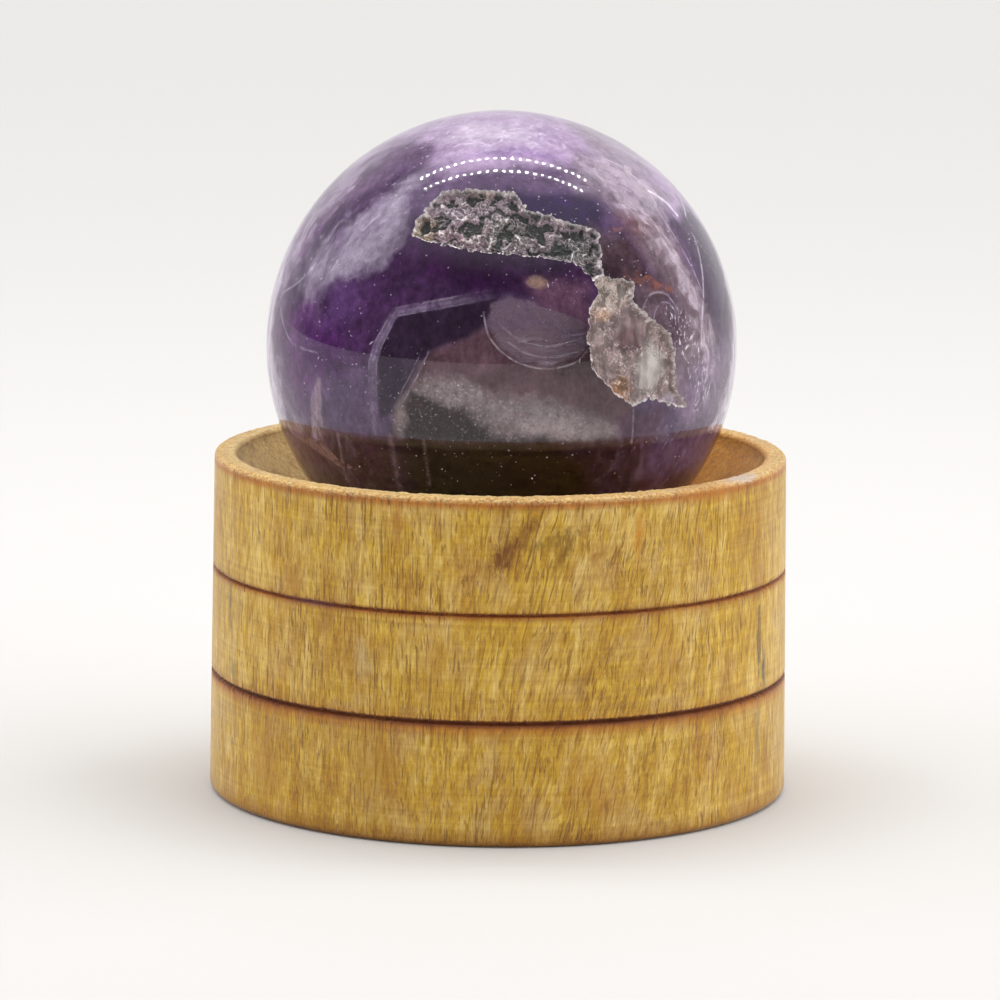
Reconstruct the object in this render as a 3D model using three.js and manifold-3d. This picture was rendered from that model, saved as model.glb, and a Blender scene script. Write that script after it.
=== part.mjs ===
// A polished amethyst ball resting in a turned wooden drum stand.
// Millimetres, +Z up, origin at the centre of the stand's underside.

import * as THREE from 'three';
import { mergeVertices } from 'three/addons/utils/BufferGeometryUtils.js';
import Module from 'manifold-3d';

const wasm = await Module();
wasm.setup();

// ---- Driving dimensions -------------------------------------------------

const ballRadius = 25;
const seatGap = 0.3; // clearance between the ball and the dish it rests in

const standHeight = 36.4;
const baseRadius = 30.9; // the drum narrows a little towards its rim
const rimRadius = 30.45;
const footEase = 0.9; // rounding of the bottom corner
const rimOuterEase = 0.6; // rounding of the rim's outer corner
const rimInnerEase = 0.7; // rounding where the rim rolls into the dish
const dishMouthRadius = 28;
const dishDepth = 14.15; // from the rim down to the lowest point of the dish

const upperGroove = { height: 24.15, width: 0.45, depth: 0.45 };
const lowerGroove = { height: 12.95, width: 0.55, depth: 0.55 };

const standSegments = 64;
const ballSegments = 56;
const ballRings = 40;

// Natural hollows that the polishing did not reach. Each outline is a loop of
// [azimuth, elevation] in degrees on the ball, azimuth measured from the front
// (-Y) towards the right (+X).
const druseHollow = {
  depth: 1.5,
  lump: 0.35,
  outline: [
    [-26, 34], [-27, 38], [-24, 43], [-21, 47], [-10, 48], [4, 47], [8, 42], [18, 39], [28, 36],
    [28, 31], [27, 25], [24, 23], [21, 27], [14, 29], [6, 30], [-9, 31], [-16, 32],
  ],
};
const crustHollow = {
  depth: 0.7,
  lump: 0.2,
  outline: [
    [22, 16], [25, 20], [24, 24], [28, 24], [36, 22], [34, 18], [39, 13], [45, 9], [46, 0],
    [46, -4], [51, -9], [45, -8], [38, -5], [31, -8], [26, -2], [22, 2], [21, 10],
  ],
};

const ballCentreHeight = standHeight - dishDepth + seatGap + ballRadius;

// ---- Helpers ------------------------------------------------------------

const degrees = Math.PI / 180;

/** Points along a circular arc, with both its ends. */
function arc(centreR, centreZ, radius, fromDegrees, toDegrees, steps) {
  return Array.from({ length: steps + 1 }, (_, i) => {
    const angle = (fromDegrees + ((toDegrees - fromDegrees) * i) / steps) * degrees;
    return new THREE.Vector2(
      centreR + radius * Math.cos(angle),
      centreZ + radius * Math.sin(angle),
    );
  });
}

/** A closed three.js geometry as a solid that can be cut and joined. */
function toSolid(geometry) {
  const bare = geometry.clone();
  bare.deleteAttribute('normal');
  bare.deleteAttribute('uv');
  const merged = mergeVertices(bare, 1e-4);
  return new wasm.Manifold(
    new wasm.Mesh({
      numProp: 3,
      vertProperties: new Float32Array(merged.attributes.position.array),
      triVerts: new Uint32Array(merged.index.array),
    }),
  );
}

/** A cut solid back as a three.js geometry. */
function toGeometry(solid) {
  const mesh = solid.getMesh();
  const geometry = new THREE.BufferGeometry();
  geometry.setAttribute('position', new THREE.BufferAttribute(mesh.vertProperties, 3));
  geometry.setIndex(new THREE.BufferAttribute(mesh.triVerts, 1));
  geometry.computeVertexNormals();
  return geometry;
}

/** Unit vector for an azimuth from the front and an elevation, in degrees. */
function direction(azimuth, elevation) {
  const level = Math.cos(elevation * degrees);
  return new THREE.Vector3(
    level * Math.sin(azimuth * degrees),
    -level * Math.cos(azimuth * degrees),
    Math.sin(elevation * degrees),
  );
}

// ---- The ball -----------------------------------------------------------

/** A sphere about the origin with its poles on the Z axis. */
function poleUpSphere(radius, segments, rings) {
  return new THREE.SphereGeometry(radius, segments, rings).rotateX(Math.PI / 2);
}

/** A wedge that stands on the outline and runs from inside the ball to well outside it. */
function outlineWedge(outline) {
  const innerRadius = ballRadius * 0.6;
  const outerRadius = ballRadius * 1.4;
  const shape = new THREE.Shape(outline.map(([azimuth, elevation]) => new THREE.Vector2(azimuth, elevation)));
  const wedge = new THREE.ExtrudeGeometry(shape, { depth: 1, bevelEnabled: false });
  const position = wedge.attributes.position;
  for (let i = 0; i < position.count; i++) {
    const reach = THREE.MathUtils.lerp(innerRadius, outerRadius, position.getZ(i));
    const point = direction(position.getX(i), position.getY(i)).multiplyScalar(reach);
    position.setXYZ(i, point.x, point.y, point.z);
  }
  return wedge;
}

/** The stone left below a hollow: a ball whose surface rises and falls like grown crystals. */
function hollowFloor({ depth, lump }) {
  const floor = poleUpSphere(1, 96, 64);
  const position = floor.attributes.position;
  const point = new THREE.Vector3();
  for (let i = 0; i < position.count; i++) {
    point.fromBufferAttribute(position, i);
    const ripple = Math.sin(17 * point.x + 2) * Math.sin(19 * point.z) + 0.5 * Math.sin(31 * point.x + 23 * point.z);
    point.multiplyScalar(ballRadius - depth + lump * ripple);
    position.setXYZ(i, point.x, point.y, point.z);
  }
  return floor;
}

function makeBall() {
  let ball = toSolid(poleUpSphere(ballRadius, ballSegments, ballRings));
  for (const hollow of [druseHollow, crustHollow]) {
    const cutter = toSolid(outlineWedge(hollow.outline)).subtract(toSolid(hollowFloor(hollow)));
    ball = ball.subtract(cutter);
  }
  const material = new THREE.MeshStandardMaterial({ color: 0x5b3d6b, roughness: 0.06, metalness: 0 });
  const mesh = new THREE.Mesh(toGeometry(ball), material);
  mesh.name = 'amethyst_sphere';
  mesh.position.z = ballCentreHeight;
  return mesh;
}

// ---- The stand ----------------------------------------------------------

/** Radius of the drum's side at a height. */
function sideRadius(height) {
  return THREE.MathUtils.lerp(baseRadius, rimRadius, height / standHeight);
}

/** A V cut round the drum, from its lower lip through its bottom to its upper lip. */
function grooveProfile({ height, width, depth }) {
  return [
    new THREE.Vector2(sideRadius(height - width / 2), height - width / 2),
    new THREE.Vector2(sideRadius(height) - depth, height),
    new THREE.Vector2(sideRadius(height + width / 2), height + width / 2),
  ];
}

/** The dish, a shallow spherical bowl, from its mouth down to its lowest point on the axis. */
function dishProfile() {
  const mouthHeight = standHeight - rimInnerEase;
  const lowestHeight = standHeight - dishDepth;
  const rise = mouthHeight - lowestHeight;
  const bowlRadius = (dishMouthRadius ** 2 + rise ** 2) / (2 * rise);
  const mouthAngle = Math.asin(dishMouthRadius / bowlRadius) / degrees;
  const curve = arc(0, lowestHeight + bowlRadius, bowlRadius, mouthAngle - 90, -90, 10);
  curve[curve.length - 1].x = 0;
  return curve;
}

function makeStand() {
  const profile = [
    new THREE.Vector2(0, 0),
    ...arc(baseRadius - footEase, footEase, footEase, -90, 0, 3),
    ...grooveProfile(lowerGroove),
    ...grooveProfile(upperGroove),
    ...arc(rimRadius - rimOuterEase, standHeight - rimOuterEase, rimOuterEase, 0, 90, 4),
    ...arc(dishMouthRadius + rimInnerEase, standHeight - rimInnerEase, rimInnerEase, 90, 180, 3).slice(0, -1),
    ...dishProfile(),
  ];
  const geometry = new THREE.LatheGeometry(profile, standSegments).rotateX(Math.PI / 2);
  const material = new THREE.MeshStandardMaterial({ color: 0xc2a25c, roughness: 0.6, metalness: 0 });
  const mesh = new THREE.Mesh(geometry, material);
  mesh.name = 'wooden_stand';
  return mesh;
}

// ---- The part -----------------------------------------------------------

const group = new THREE.Group();
group.add(makeStand(), makeBall());

export default group;
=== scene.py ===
import math

import bmesh
import bpy
import numpy as np
from mathutils import Matrix, Vector, noise


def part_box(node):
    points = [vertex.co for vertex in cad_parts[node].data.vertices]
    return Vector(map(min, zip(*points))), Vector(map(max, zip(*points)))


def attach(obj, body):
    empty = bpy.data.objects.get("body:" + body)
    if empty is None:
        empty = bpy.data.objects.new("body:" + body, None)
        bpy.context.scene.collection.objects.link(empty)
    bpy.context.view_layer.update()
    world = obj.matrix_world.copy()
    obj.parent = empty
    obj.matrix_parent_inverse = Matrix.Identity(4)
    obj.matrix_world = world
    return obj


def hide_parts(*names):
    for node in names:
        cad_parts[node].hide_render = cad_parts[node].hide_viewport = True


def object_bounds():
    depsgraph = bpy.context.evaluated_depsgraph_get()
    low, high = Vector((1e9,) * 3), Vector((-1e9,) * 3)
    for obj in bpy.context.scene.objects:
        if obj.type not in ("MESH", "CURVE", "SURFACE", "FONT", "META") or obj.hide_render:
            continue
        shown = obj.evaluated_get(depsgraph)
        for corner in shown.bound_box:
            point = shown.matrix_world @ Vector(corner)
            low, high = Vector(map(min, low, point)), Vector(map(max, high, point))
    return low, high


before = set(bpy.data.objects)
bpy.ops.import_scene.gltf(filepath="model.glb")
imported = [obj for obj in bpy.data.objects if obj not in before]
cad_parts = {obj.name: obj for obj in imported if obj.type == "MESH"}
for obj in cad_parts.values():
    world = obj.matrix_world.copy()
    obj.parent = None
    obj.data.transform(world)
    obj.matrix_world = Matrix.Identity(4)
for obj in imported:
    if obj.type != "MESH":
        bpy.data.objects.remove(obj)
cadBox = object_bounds()
mm = 0.001

ballLow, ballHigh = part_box("amethyst_sphere")
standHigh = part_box("wooden_stand")[1]
ballRadius = (ballHigh.z - ballLow.z) / 2
ballCentre = Vector((0, 0, (ballHigh.z + ballLow.z) / 2))
standHeight = standHigh.z
scene = bpy.context.scene


# small tools

def hexColour(code):
    # sRGB hex to the linear colour that shaders take
    channels = [int(code[i:i + 2], 16) / 255 for i in (1, 3, 5)]
    linear = [c / 12.92 if c <= 0.04045 else ((c + 0.055) / 1.055) ** 2.4 for c in channels]
    return (*linear, 1.0)


def newMaterial(name):
    material = bpy.data.materials.new(name)
    material.use_nodes = True
    material.node_tree.nodes.clear()
    return material, material.node_tree


# settings that many nodes share
add, subtract, multiply = {"operation": "ADD"}, {"operation": "SUBTRACT"}, {"operation": "MULTIPLY"}
divide, multiplyAdd, maximum = {"operation": "DIVIDE"}, {"operation": "MULTIPLY_ADD"}, {"operation": "MAXIMUM"}
smooth = {"interpolation_type": "SMOOTHSTEP"}
mixed = {"data_type": "RGBA", "blend_type": "MIX"}
softLight = {"data_type": "RGBA", "blend_type": "SOFT_LIGHT"}


def addNode(tree, kind, feeds=None, settings=None, **values):
    # feeds go to inputs by name or number, or in order where they are a list; each is a socket, a node
    # whose first output is meant, a plain value or a hex colour. values go to inputs by name. settings
    # are the node's own, with stops for a colour ramp. A shader node's kind leaves out ShaderNode.
    node = tree.nodes.new(kind if "Node" in kind else "ShaderNode" + kind)
    for key, value in (settings or {}).items():
        if key != "stops":
            setattr(node, key, value)
            continue
        elements = node.color_ramp.elements
        while len(elements) < len(value):
            elements.new(0.5)
        for element, (place, colour) in zip(elements, value):
            element.position, element.color = place, hexColour(colour)
    inputs = dict(enumerate(feeds)) if isinstance(feeds, list) else dict(feeds or {})
    inputs.update({key.replace("_", " "): value for key, value in values.items()})
    for key, value in inputs.items():
        if isinstance(value, bpy.types.Node):
            value = value.outputs[0]
        if isinstance(value, bpy.types.NodeSocket):
            tree.links.new(value, node.inputs[key])
        else:
            node.inputs[key].default_value = hexColour(value) if str(value).startswith("#") else value
    return node


def placeInMm(tree):
    return addNode(tree, "Mapping", {"Vector": addNode(tree, "TexCoord").outputs["Object"]}, Scale=(1000, 1000, 1000))


def grainNoise(tree, place, size, detail=2.0, roughness=0.5):
    # noise whose features are as big as size says, in mm along X, Y and Z
    sized = addNode(tree, "Mapping", {"Vector": place, "Scale": [1 / s for s in size]})
    return addNode(tree, "TexNoise", {"Vector": sized}, Scale=1.0, Detail=detail, Roughness=roughness)


def tintWhere(tree, colour, pattern, reach, tint):
    # mixes a tint in where a pattern runs from low to high, as far as strength says
    low, high, strength = reach
    share = addNode(tree, "Math", [addNode(tree, "MapRange", [pattern, low, high], smooth), strength], multiply)
    return addNode(tree, "Mix", {0: share, 6: colour, 7: tint}, mixed).outputs[2]


def shadeBy(tree, colour, pattern, dark, middle, light):
    # lightens and darkens a colour by a pattern; each of the three is a place on it and a grey
    shade = addNode(tree, "ValToRGB", [pattern], {"stops": [dark, middle, light]})
    return addNode(tree, "Mix", {0: 1.0, 6: colour, 7: shade}, softLight).outputs[2]


def fromAxis(tree, x, y):
    squares = [addNode(tree, "Math", [side, side], multiply) for side in (x, y)]
    return addNode(tree, "Math", [addNode(tree, "Math", squares, add)], {"operation": "SQRT"})


def meshObject(name, vertices, faces, materials=()):
    mesh = bpy.data.meshes.new(name)
    mesh.from_pydata([tuple(v) for v in vertices], [], [tuple(f) for f in faces])
    obj = bpy.data.objects.new(name, mesh)
    scene.collection.objects.link(obj)
    for material in materials:
        mesh.materials.append(material)
    return obj


def smoothFaces(mesh):
    mesh.polygons.foreach_set("use_smooth", [True] * len(mesh.polygons))


def socketId(tree, name):
    return next(s.identifier for s in tree.interface.items_tree if s.name == name)


def geometryTree(name, inputs):
    tree = bpy.data.node_groups.new(name, "GeometryNodeTree")
    tree.interface.new_socket("Geometry", in_out="INPUT", socket_type="NodeSocketGeometry")
    tree.interface.new_socket("Geometry", in_out="OUTPUT", socket_type="NodeSocketGeometry")
    for label, kind in inputs.items():
        tree.interface.new_socket(label, in_out="INPUT", socket_type="NodeSocket" + kind)
    entry = tree.nodes.new("NodeGroupInput")
    return tree, entry


def growWith(tree, values, name, base=None):
    # runs a geometry tree on a carrier object and returns the plain mesh
    carrier = base or meshObject(name + " carrier", [], [])
    modifier = carrier.modifiers.new("grow", "NODES")
    modifier.node_group = tree
    for label, value in values.items():
        modifier[socketId(tree, label)] = value
    evaluated = carrier.evaluated_get(bpy.context.evaluated_depsgraph_get())
    mesh = bpy.data.meshes.new_from_object(evaluated)
    mesh.name = name
    if base:
        carrier.modifiers.remove(modifier)
    else:
        bpy.data.objects.remove(carrier)
    obj = bpy.data.objects.new(name, mesh)
    scene.collection.objects.link(obj)
    return obj


# camera, floor and light

studio = dict(
    cameraDistance=0.600,
    cameraElevation=9.7,     # degrees above the horizon
    cameraRoll=0.59,
    lens=202.3,              # mm, a long lens from 0.6 m
    aimShare=0.4262,          # of the overall height
    floorColour="#c2c0be",
    tentLight=0.75,          # walls of the light tent
    roofLight=1.0,
    openFrontLight=0.10,     # the open side, where the camera stands
    overheadPower=0.75,
    sideGlow=0.25,           # how much brighter the tent is at its sides
    wallSpan=(0.2, 0.96),    # from the side towards straight behind
    glowSpan=(0.15, 0.6),
    roofSpan=(0.6, 0.9),
    fillPower=0.44,
    leftPower=2.35,
    rightPower=3.2,
    ledHeight=0.36,          # above the ball's centre
    ledRows=(0.061, 0.122),  # behind the ball's centre
    ledCount=23,
    ledPitch=0.0166,
    ledSize=0.0066,
    ledPower=0.012,
    stripPower=0.020,        # the diffuser along each row
)


def makeCamera():
    camera = bpy.data.objects.new("camera", bpy.data.cameras.new("camera"))
    camera.data.lens = studio["lens"]
    camera.data.clip_start = 0.01
    elevation = math.radians(studio["cameraElevation"])
    aim = Vector((0, 0, cadBox[1].z * studio["aimShare"]))
    back = Vector((0, -math.cos(elevation), math.sin(elevation)))
    camera.location = aim + back * studio["cameraDistance"]
    tilt = Matrix.Rotation(math.radians(90) - elevation, 4, "X")
    roll = Matrix.Rotation(math.radians(studio["cameraRoll"]), 4, "Z")
    camera.rotation_euler = (tilt @ roll).to_euler()
    scene.collection.objects.link(camera)
    scene.camera = camera


def makeFloor():
    material, tree = newMaterial("matt pale board")
    shader = addNode(tree, "BsdfPrincipled", Base_Color=hexColour(studio["floorColour"]), Roughness=0.8)
    addNode(tree, "OutputMaterial", {"Surface": shader})
    reach = 4.0
    corners = [(-reach, -reach, 0), (reach, -reach, 0), (reach, reach, 0), (-reach, reach, 0)]
    meshObject("floor", corners, [(0, 1, 2, 3)], [material])


def makeWorld():
    # a light tent: bright behind, above and at the sides, dim towards the open front
    world = bpy.data.worlds.new("light tent")
    world.use_nodes = True
    tree = world.node_tree
    tree.nodes.clear()
    way = addNode(tree, "TexCoord")
    parts = addNode(tree, "SeparateXYZ", {0: way.outputs["Generated"]})
    dim = studio["openFrontLight"]
    walls = addNode(tree, "MapRange", [parts.outputs["Y"], *studio["wallSpan"], dim, studio["tentLight"]], smooth)
    aside = addNode(tree, "Math", [parts.outputs["X"]], {"operation": "ABSOLUTE"})
    glow = addNode(tree, "MapRange", [aside, *studio["glowSpan"], 1.0, 1 + studio["sideGlow"]], smooth)
    roof = addNode(tree, "MapRange", [parts.outputs["Z"], *studio["roofSpan"], dim, studio["roofLight"]], smooth)
    level = addNode(tree, "Math", [addNode(tree, "Math", [walls, glow], multiply), roof], maximum)
    tent = addNode(tree, "Background", {"Strength": level}, Color=(1, 1, 1, 1))
    plain = addNode(tree, "Background", Color=hexColour("#eceae9"), Strength=1.0)
    rays = addNode(tree, "LightPath")
    mix = addNode(tree, "MixShader", {0: rays.outputs["Is Camera Ray"], 1: tent, 2: plain})
    addNode(tree, "OutputWorld", {"Surface": mix})
    scene.world = world


def addLamp(name, kind, place, aim, power, **settings):
    light = bpy.data.lights.new(name, kind)
    light.energy = power
    for key, value in settings.items():
        setattr(light, key, value)
    obj = bpy.data.objects.new(name, light)
    obj.location = place
    obj.rotation_euler = (Vector(aim) - Vector(place)).to_track_quat("-Z", "Y").to_euler()
    scene.collection.objects.link(obj)
    return obj


def makeLights():
    overhead = addLamp("overhead diffuser", "SUN", (0, 0.1, 1), (0, 0, 0), studio["overheadPower"],
        angle=math.radians(80))
    broad = [overhead]
    for name, place, power in (("front fill", (0, -1, 0.4), "fillPower"), ("left fill", (-1, -0.1, 0.4), "leftPower"),
                               ("right fill", (1, -0.1, 0.4), "rightPower")):
        broad.append(addLamp(name, "SUN", place, (0, 0, 0), studio[power], angle=math.radians(90)))
    for lamp in broad:                # so wide and even that none of them shows in the polish
        lamp.visible_glossy = False
    for row, depth in enumerate(studio["ledRows"]):
        for i in range(studio["ledCount"]):
            along = (i - (studio["ledCount"] - 1) / 2) * studio["ledPitch"]
            place = Vector((along, depth, ballCentre.z + studio["ledHeight"]))
            addLamp(f"led {row}.{i}", "AREA", place, place - Vector((0, 0, 1)), studio["ledPower"], shape="DISK",
                    size=studio["ledSize"])
        place = Vector((0, depth, ballCentre.z + studio["ledHeight"] + 0.002))
        addLamp(f"diffuser {row}", "AREA", place, place - Vector((0, 0, 1)), studio["stripPower"], shape="RECTANGLE",
                size=studio["ledCount"] * studio["ledPitch"], size_y=0.020)


makeCamera()
makeFloor()
makeWorld()
makeLights()
scene.view_settings.view_transform = "Standard"
print("studio ready")


# the wooden stand

stand = dict(
    footEase=0.9, rimOuterEase=0.6, rimInnerEase=0.7,    # mm, as turned
    rimRadius=30.45, dishMouthRadius=28.0, dishDepth=14.15,
    upperGroove=dict(height=24.15, width=0.45, depth=0.45),
    lowerGroove=dict(height=12.95, width=0.55, depth=0.55),
    sections=810,
    fineStep=0.10,       # profile spacing at the grooves and the rim
    coarseStep=1.6,
    tornDepth=0.28,      # how far fibres are torn out along a groove's lips
    fuzzDepth=0.45,      # roughness of the sanded rim
    wobble=0.05,         # out of round
    tearsAround=51.0, tearsUp=600,   # noise cells to a radius round the drum, and to a metre up it
    tearGain=4,
    tufts=2600, tuftBase=0.05,       # cells of the rim's fuzz to a metre, and the noise it starts from
    wobbleUp=20,                     # cells to a metre
    tornFrom=29.9,                   # mm from the axis, outside which the side is torn and out of round
    endGrainFrom=0.01,               # m, above which the inside is the dish
    seed=4.0,
)


def sideRadius(height):
    # mm; the drum narrows a little towards its rim
    low = standHigh.x / mm
    return low + (stand["rimRadius"] - low) * height / (standHeight / mm)


def arcPoints(centre, radius, start, end, step):
    count = max(2, round(abs(math.radians(end - start)) * radius / step))
    turns = [math.radians(start + (end - start) * i / count) for i in range(count + 1)]
    return [(centre[0] + radius * math.cos(t), centre[1] + radius * math.sin(t)) for t in turns]


def standProfile():
    # [radius, height] in mm, from the axis below, round the outside, to the axis in the dish
    top = standHeight / mm
    fine, coarse = stand["fineStep"], stand["coarseStep"]
    foot, outer, inner = stand["footEase"], stand["rimOuterEase"], stand["rimInnerEase"]
    grooves = [stand["lowerGroove"], stand["upperGroove"]]
    points = [(0, 0), (12, 0), (24, 0)]
    points += arcPoints((sideRadius(0) - foot, foot), foot, -90, 0, 0.2)
    height = foot
    while height < top - outer:
        near = min(abs(height - g["height"]) - g["width"] / 2 for g in grooves)
        height += fine if near < 0.8 else coarse if near > 2.2 else 0.4
        radius = sideRadius(height)
        for g in grooves:
            inside = 1 - abs(height - g["height"]) / (g["width"] / 2)
            radius -= g["depth"] * max(0, inside)
        points.append((radius, min(height, top - outer)))
    points += arcPoints((sideRadius(top) - outer, top - outer), outer, 0, 90, 0.14)[1:]
    mouth = stand["dishMouthRadius"]
    points += arcPoints((mouth + inner, top - inner), inner, 90, 180, 0.14)
    lowest = top - stand["dishDepth"]
    rise = top - inner - lowest
    bowl = (mouth ** 2 + rise ** 2) / (2 * rise)
    edge = math.degrees(math.asin(mouth / bowl))
    points += arcPoints((0, lowest + bowl), bowl, edge - 90, -90, 1.3)[1:]
    points[-1] = (0, points[-1][1])
    return points


def profileShares(points):
    # how much each profile point belongs to a groove's lips and to the rim
    lips, rim = [], []
    top = standHeight / mm
    for radius, height in points:
        onSide = radius > stand["dishMouthRadius"] and height < top - 1
        gaps = [abs(height - g["height"]) - g["width"] / 2 for g in (stand["upperGroove"], stand["lowerGroove"])]
        near = min(abs(gap) for gap in gaps)
        lips.append(math.exp(-(near / 0.35) ** 2) if onSide else 0.0)
        rim.append(max(0, 1 - (top - height) / 1.2) if radius > stand["dishMouthRadius"] - 0.4 else 0.0)
    return lips, rim


def turnedStandTree():
    tree, entry = geometryTree("turned stand", {"Profile": "Object", "Points": "Int", "Sections": "Int",
            "Torn Depth": "Float", "Fuzz Depth": "Float", "Wobble": "Float", "Seed": "Float", "Mouth": "Float",
            "Wood": "Material", "End Grain": "Material"})
    link = tree.links.new
    info = addNode(tree, "GeometryNodeObjectInfo", {"Object": entry.outputs["Profile"]})
    columns = addNode(tree, "Math", [entry.outputs["Sections"], 1], add)
    grid = addNode(tree, "GeometryNodeMeshGrid", {"Vertices X": columns, "Vertices Y": entry.outputs["Points"]})
    index = addNode(tree, "GeometryNodeInputIndex")
    row = addNode(tree, "Math", [index, entry.outputs["Points"]], {"operation": "MODULO"})
    column = addNode(tree, "Math", [index, entry.outputs["Points"]], divide)
    column = addNode(tree, "Math", [column], {"operation": "FLOOR"})
    angle = addNode(tree, "Math", [column, entry.outputs["Sections"]], divide)
    angle = addNode(tree, "Math", [angle, 2 * math.pi], multiply)
    place = addNode(tree, "GeometryNodeInputPosition")
    profileAt = addNode(tree, "GeometryNodeSampleIndex", {"Geometry": info.outputs["Geometry"], "Index": row},
                        {"data_type": "FLOAT_VECTOR"})
    link(place.outputs[0], profileAt.inputs["Value"])
    shares = {}
    for label in ("lipShare", "rimShare"):
        named = addNode(tree, "GeometryNodeInputNamedAttribute", settings={"data_type": "FLOAT"}, Name=label)
        shares[label] = addNode(tree, "GeometryNodeSampleIndex",
                                {"Geometry": info.outputs["Geometry"], "Index": row}, {"data_type": "FLOAT"})
        link(named.outputs[0], shares[label].inputs["Value"])
    parts = addNode(tree, "SeparateXYZ", {0: profileAt})
    radius, height = parts.outputs["X"], parts.outputs["Z"]
    cos = addNode(tree, "Math", [angle], {"operation": "COSINE"})
    sin = addNode(tree, "Math", [angle], {"operation": "SINE"})
    # torn fibres: long and thin, standing along the grain, so the noise is squeezed round the drum
    around = addNode(tree, "CombineXYZ", [
        addNode(tree, "Math", [cos, stand["tearsAround"]], multiply),
        addNode(tree, "Math", [sin, stand["tearsAround"]], multiply),
        addNode(tree, "Math", [height, stand["tearsUp"]], multiply)])
    torn = addNode(tree, "TexNoise", {"Vector": around, "W": entry.outputs["Seed"]},
                   {"noise_dimensions": "4D"}, Scale=1.0, Detail=3.0, Roughness=0.7)
    tear = addNode(tree, "Math", [addNode(tree, "Math", [torn, 0.5], subtract), 0], maximum)
    tear = addNode(tree, "Math", [tear, stand["tearGain"]], multiply)
    tear = addNode(tree, "Math", [tear, shares["lipShare"]], multiply)
    right, back = addNode(tree, "Math", [cos, radius], multiply), addNode(tree, "Math", [sin, radius], multiply)
    nap = addNode(tree, "CombineXYZ", [addNode(tree, "Math", [way, stand["tufts"]], multiply) for way in (right,
                back, height)])
    nap = addNode(tree, "TexNoise", {"Vector": nap}, Scale=1.0, Detail=2.0, Roughness=0.6)
    fuzz = addNode(tree, "Math", [nap, stand["tuftBase"]], subtract)
    fuzz = addNode(tree, "Math", [fuzz, shares["rimShare"]], multiply)
    slow = addNode(tree, "CombineXYZ", {"X": cos, "Y": sin,
            "Z": addNode(tree, "Math", [height, stand["wobbleUp"]], multiply)})
    lean = addNode(tree, "TexNoise", {"Vector": slow}, Scale=0.8, Detail=1.0)
    lean = addNode(tree, "Math", [lean, entry.outputs["Wobble"]], multiply)
    inward = addNode(tree, "Math", [addNode(tree, "Math", [tear, entry.outputs["Torn Depth"]], multiply), lean], add)
    onSide = addNode(tree, "Math", [radius, stand["tornFrom"] * mm], {"operation": "GREATER_THAN"})
    inward = addNode(tree, "Math", [inward, onSide], multiply)
    edge = addNode(tree, "Math", [radius, inward], subtract)
    lower = addNode(tree, "Math", [addNode(tree, "Math", [fuzz, 0.0], maximum), entry.outputs["Fuzz Depth"]],
        multiply)
    lift = addNode(tree, "Math", [height, lower], subtract)
    turned = addNode(tree, "CombineXYZ", [
        addNode(tree, "Math", [edge, cos], multiply), addNode(tree, "Math", [edge, sin], multiply), lift])
    placed = addNode(tree, "GeometryNodeSetPosition", {"Geometry": grid, "Position": turned})
    flow = placed
    for label, share in shares.items():
        flow = addNode(tree, "GeometryNodeStoreNamedAttribute", {"Geometry": flow, "Value": share},
                       {"data_type": "FLOAT", "domain": "POINT"}, Name=label)
    merged = addNode(tree, "GeometryNodeMergeByDistance", {"Geometry": flow}, Distance=1e-6)
    real = addNode(tree, "GeometryNodeRealizeInstances", {"Geometry": merged})
    finish = addNode(tree, "GeometryNodeSetMaterial", {"Geometry": real, "Material": entry.outputs["Wood"]})
    # the dish is cut across the grain
    x, y, z = addNode(tree, "SeparateXYZ", {0: place}).outputs
    reach = fromAxis(tree, x, y)
    inside = addNode(tree, "Math", [reach, entry.outputs["Mouth"]], {"operation": "LESS_THAN"})
    high = addNode(tree, "Math", [z, stand["endGrainFrom"]], {"operation": "GREATER_THAN"})
    inDish = addNode(tree, "Math", [inside, high], multiply)
    dished = addNode(tree, "GeometryNodeSetMaterial", {"Geometry": finish, "Selection": inDish,
                                                       "Material": entry.outputs["End Grain"]})
    link(dished.outputs[0], tree.nodes.new("NodeGroupOutput").inputs[0])
    return tree


def faceOutwards(mesh):
    work = bmesh.new()
    work.from_mesh(mesh)
    bmesh.ops.recalc_face_normals(work, faces=work.faces)
    if work.calc_volume(signed=True) < 0:
        bmesh.ops.reverse_faces(work, faces=work.faces)
    work.to_mesh(mesh)
    work.free()


def makeStand(sideGrain, endGrain):
    points = standProfile()
    lips, rim = profileShares(points)
    profile = meshObject("stand profile", [(r * mm, 0, z * mm) for r, z in points], [])
    for label, values in (("lipShare", lips), ("rimShare", rim)):
        profile.data.attributes.new(label, "FLOAT", "POINT").data.foreach_set("value", values)
    piece = growWith(turnedStandTree(), {
        "Profile": profile, "Points": len(points), "Sections": stand["sections"],
        "Torn Depth": stand["tornDepth"] * mm, "Fuzz Depth": stand["fuzzDepth"] * mm,
        "Wobble": stand["wobble"] * mm, "Seed": stand["seed"], "Mouth": (stand["dishMouthRadius"] + 0.5) * mm,
        "Wood": sideGrain, "End Grain": endGrain}, "turned_stand")
    bpy.data.objects.remove(profile)
    faceOutwards(piece.data)
    smoothFaces(piece.data)
    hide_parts("wooden_stand")
    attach(piece, "root")
    return piece


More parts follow.
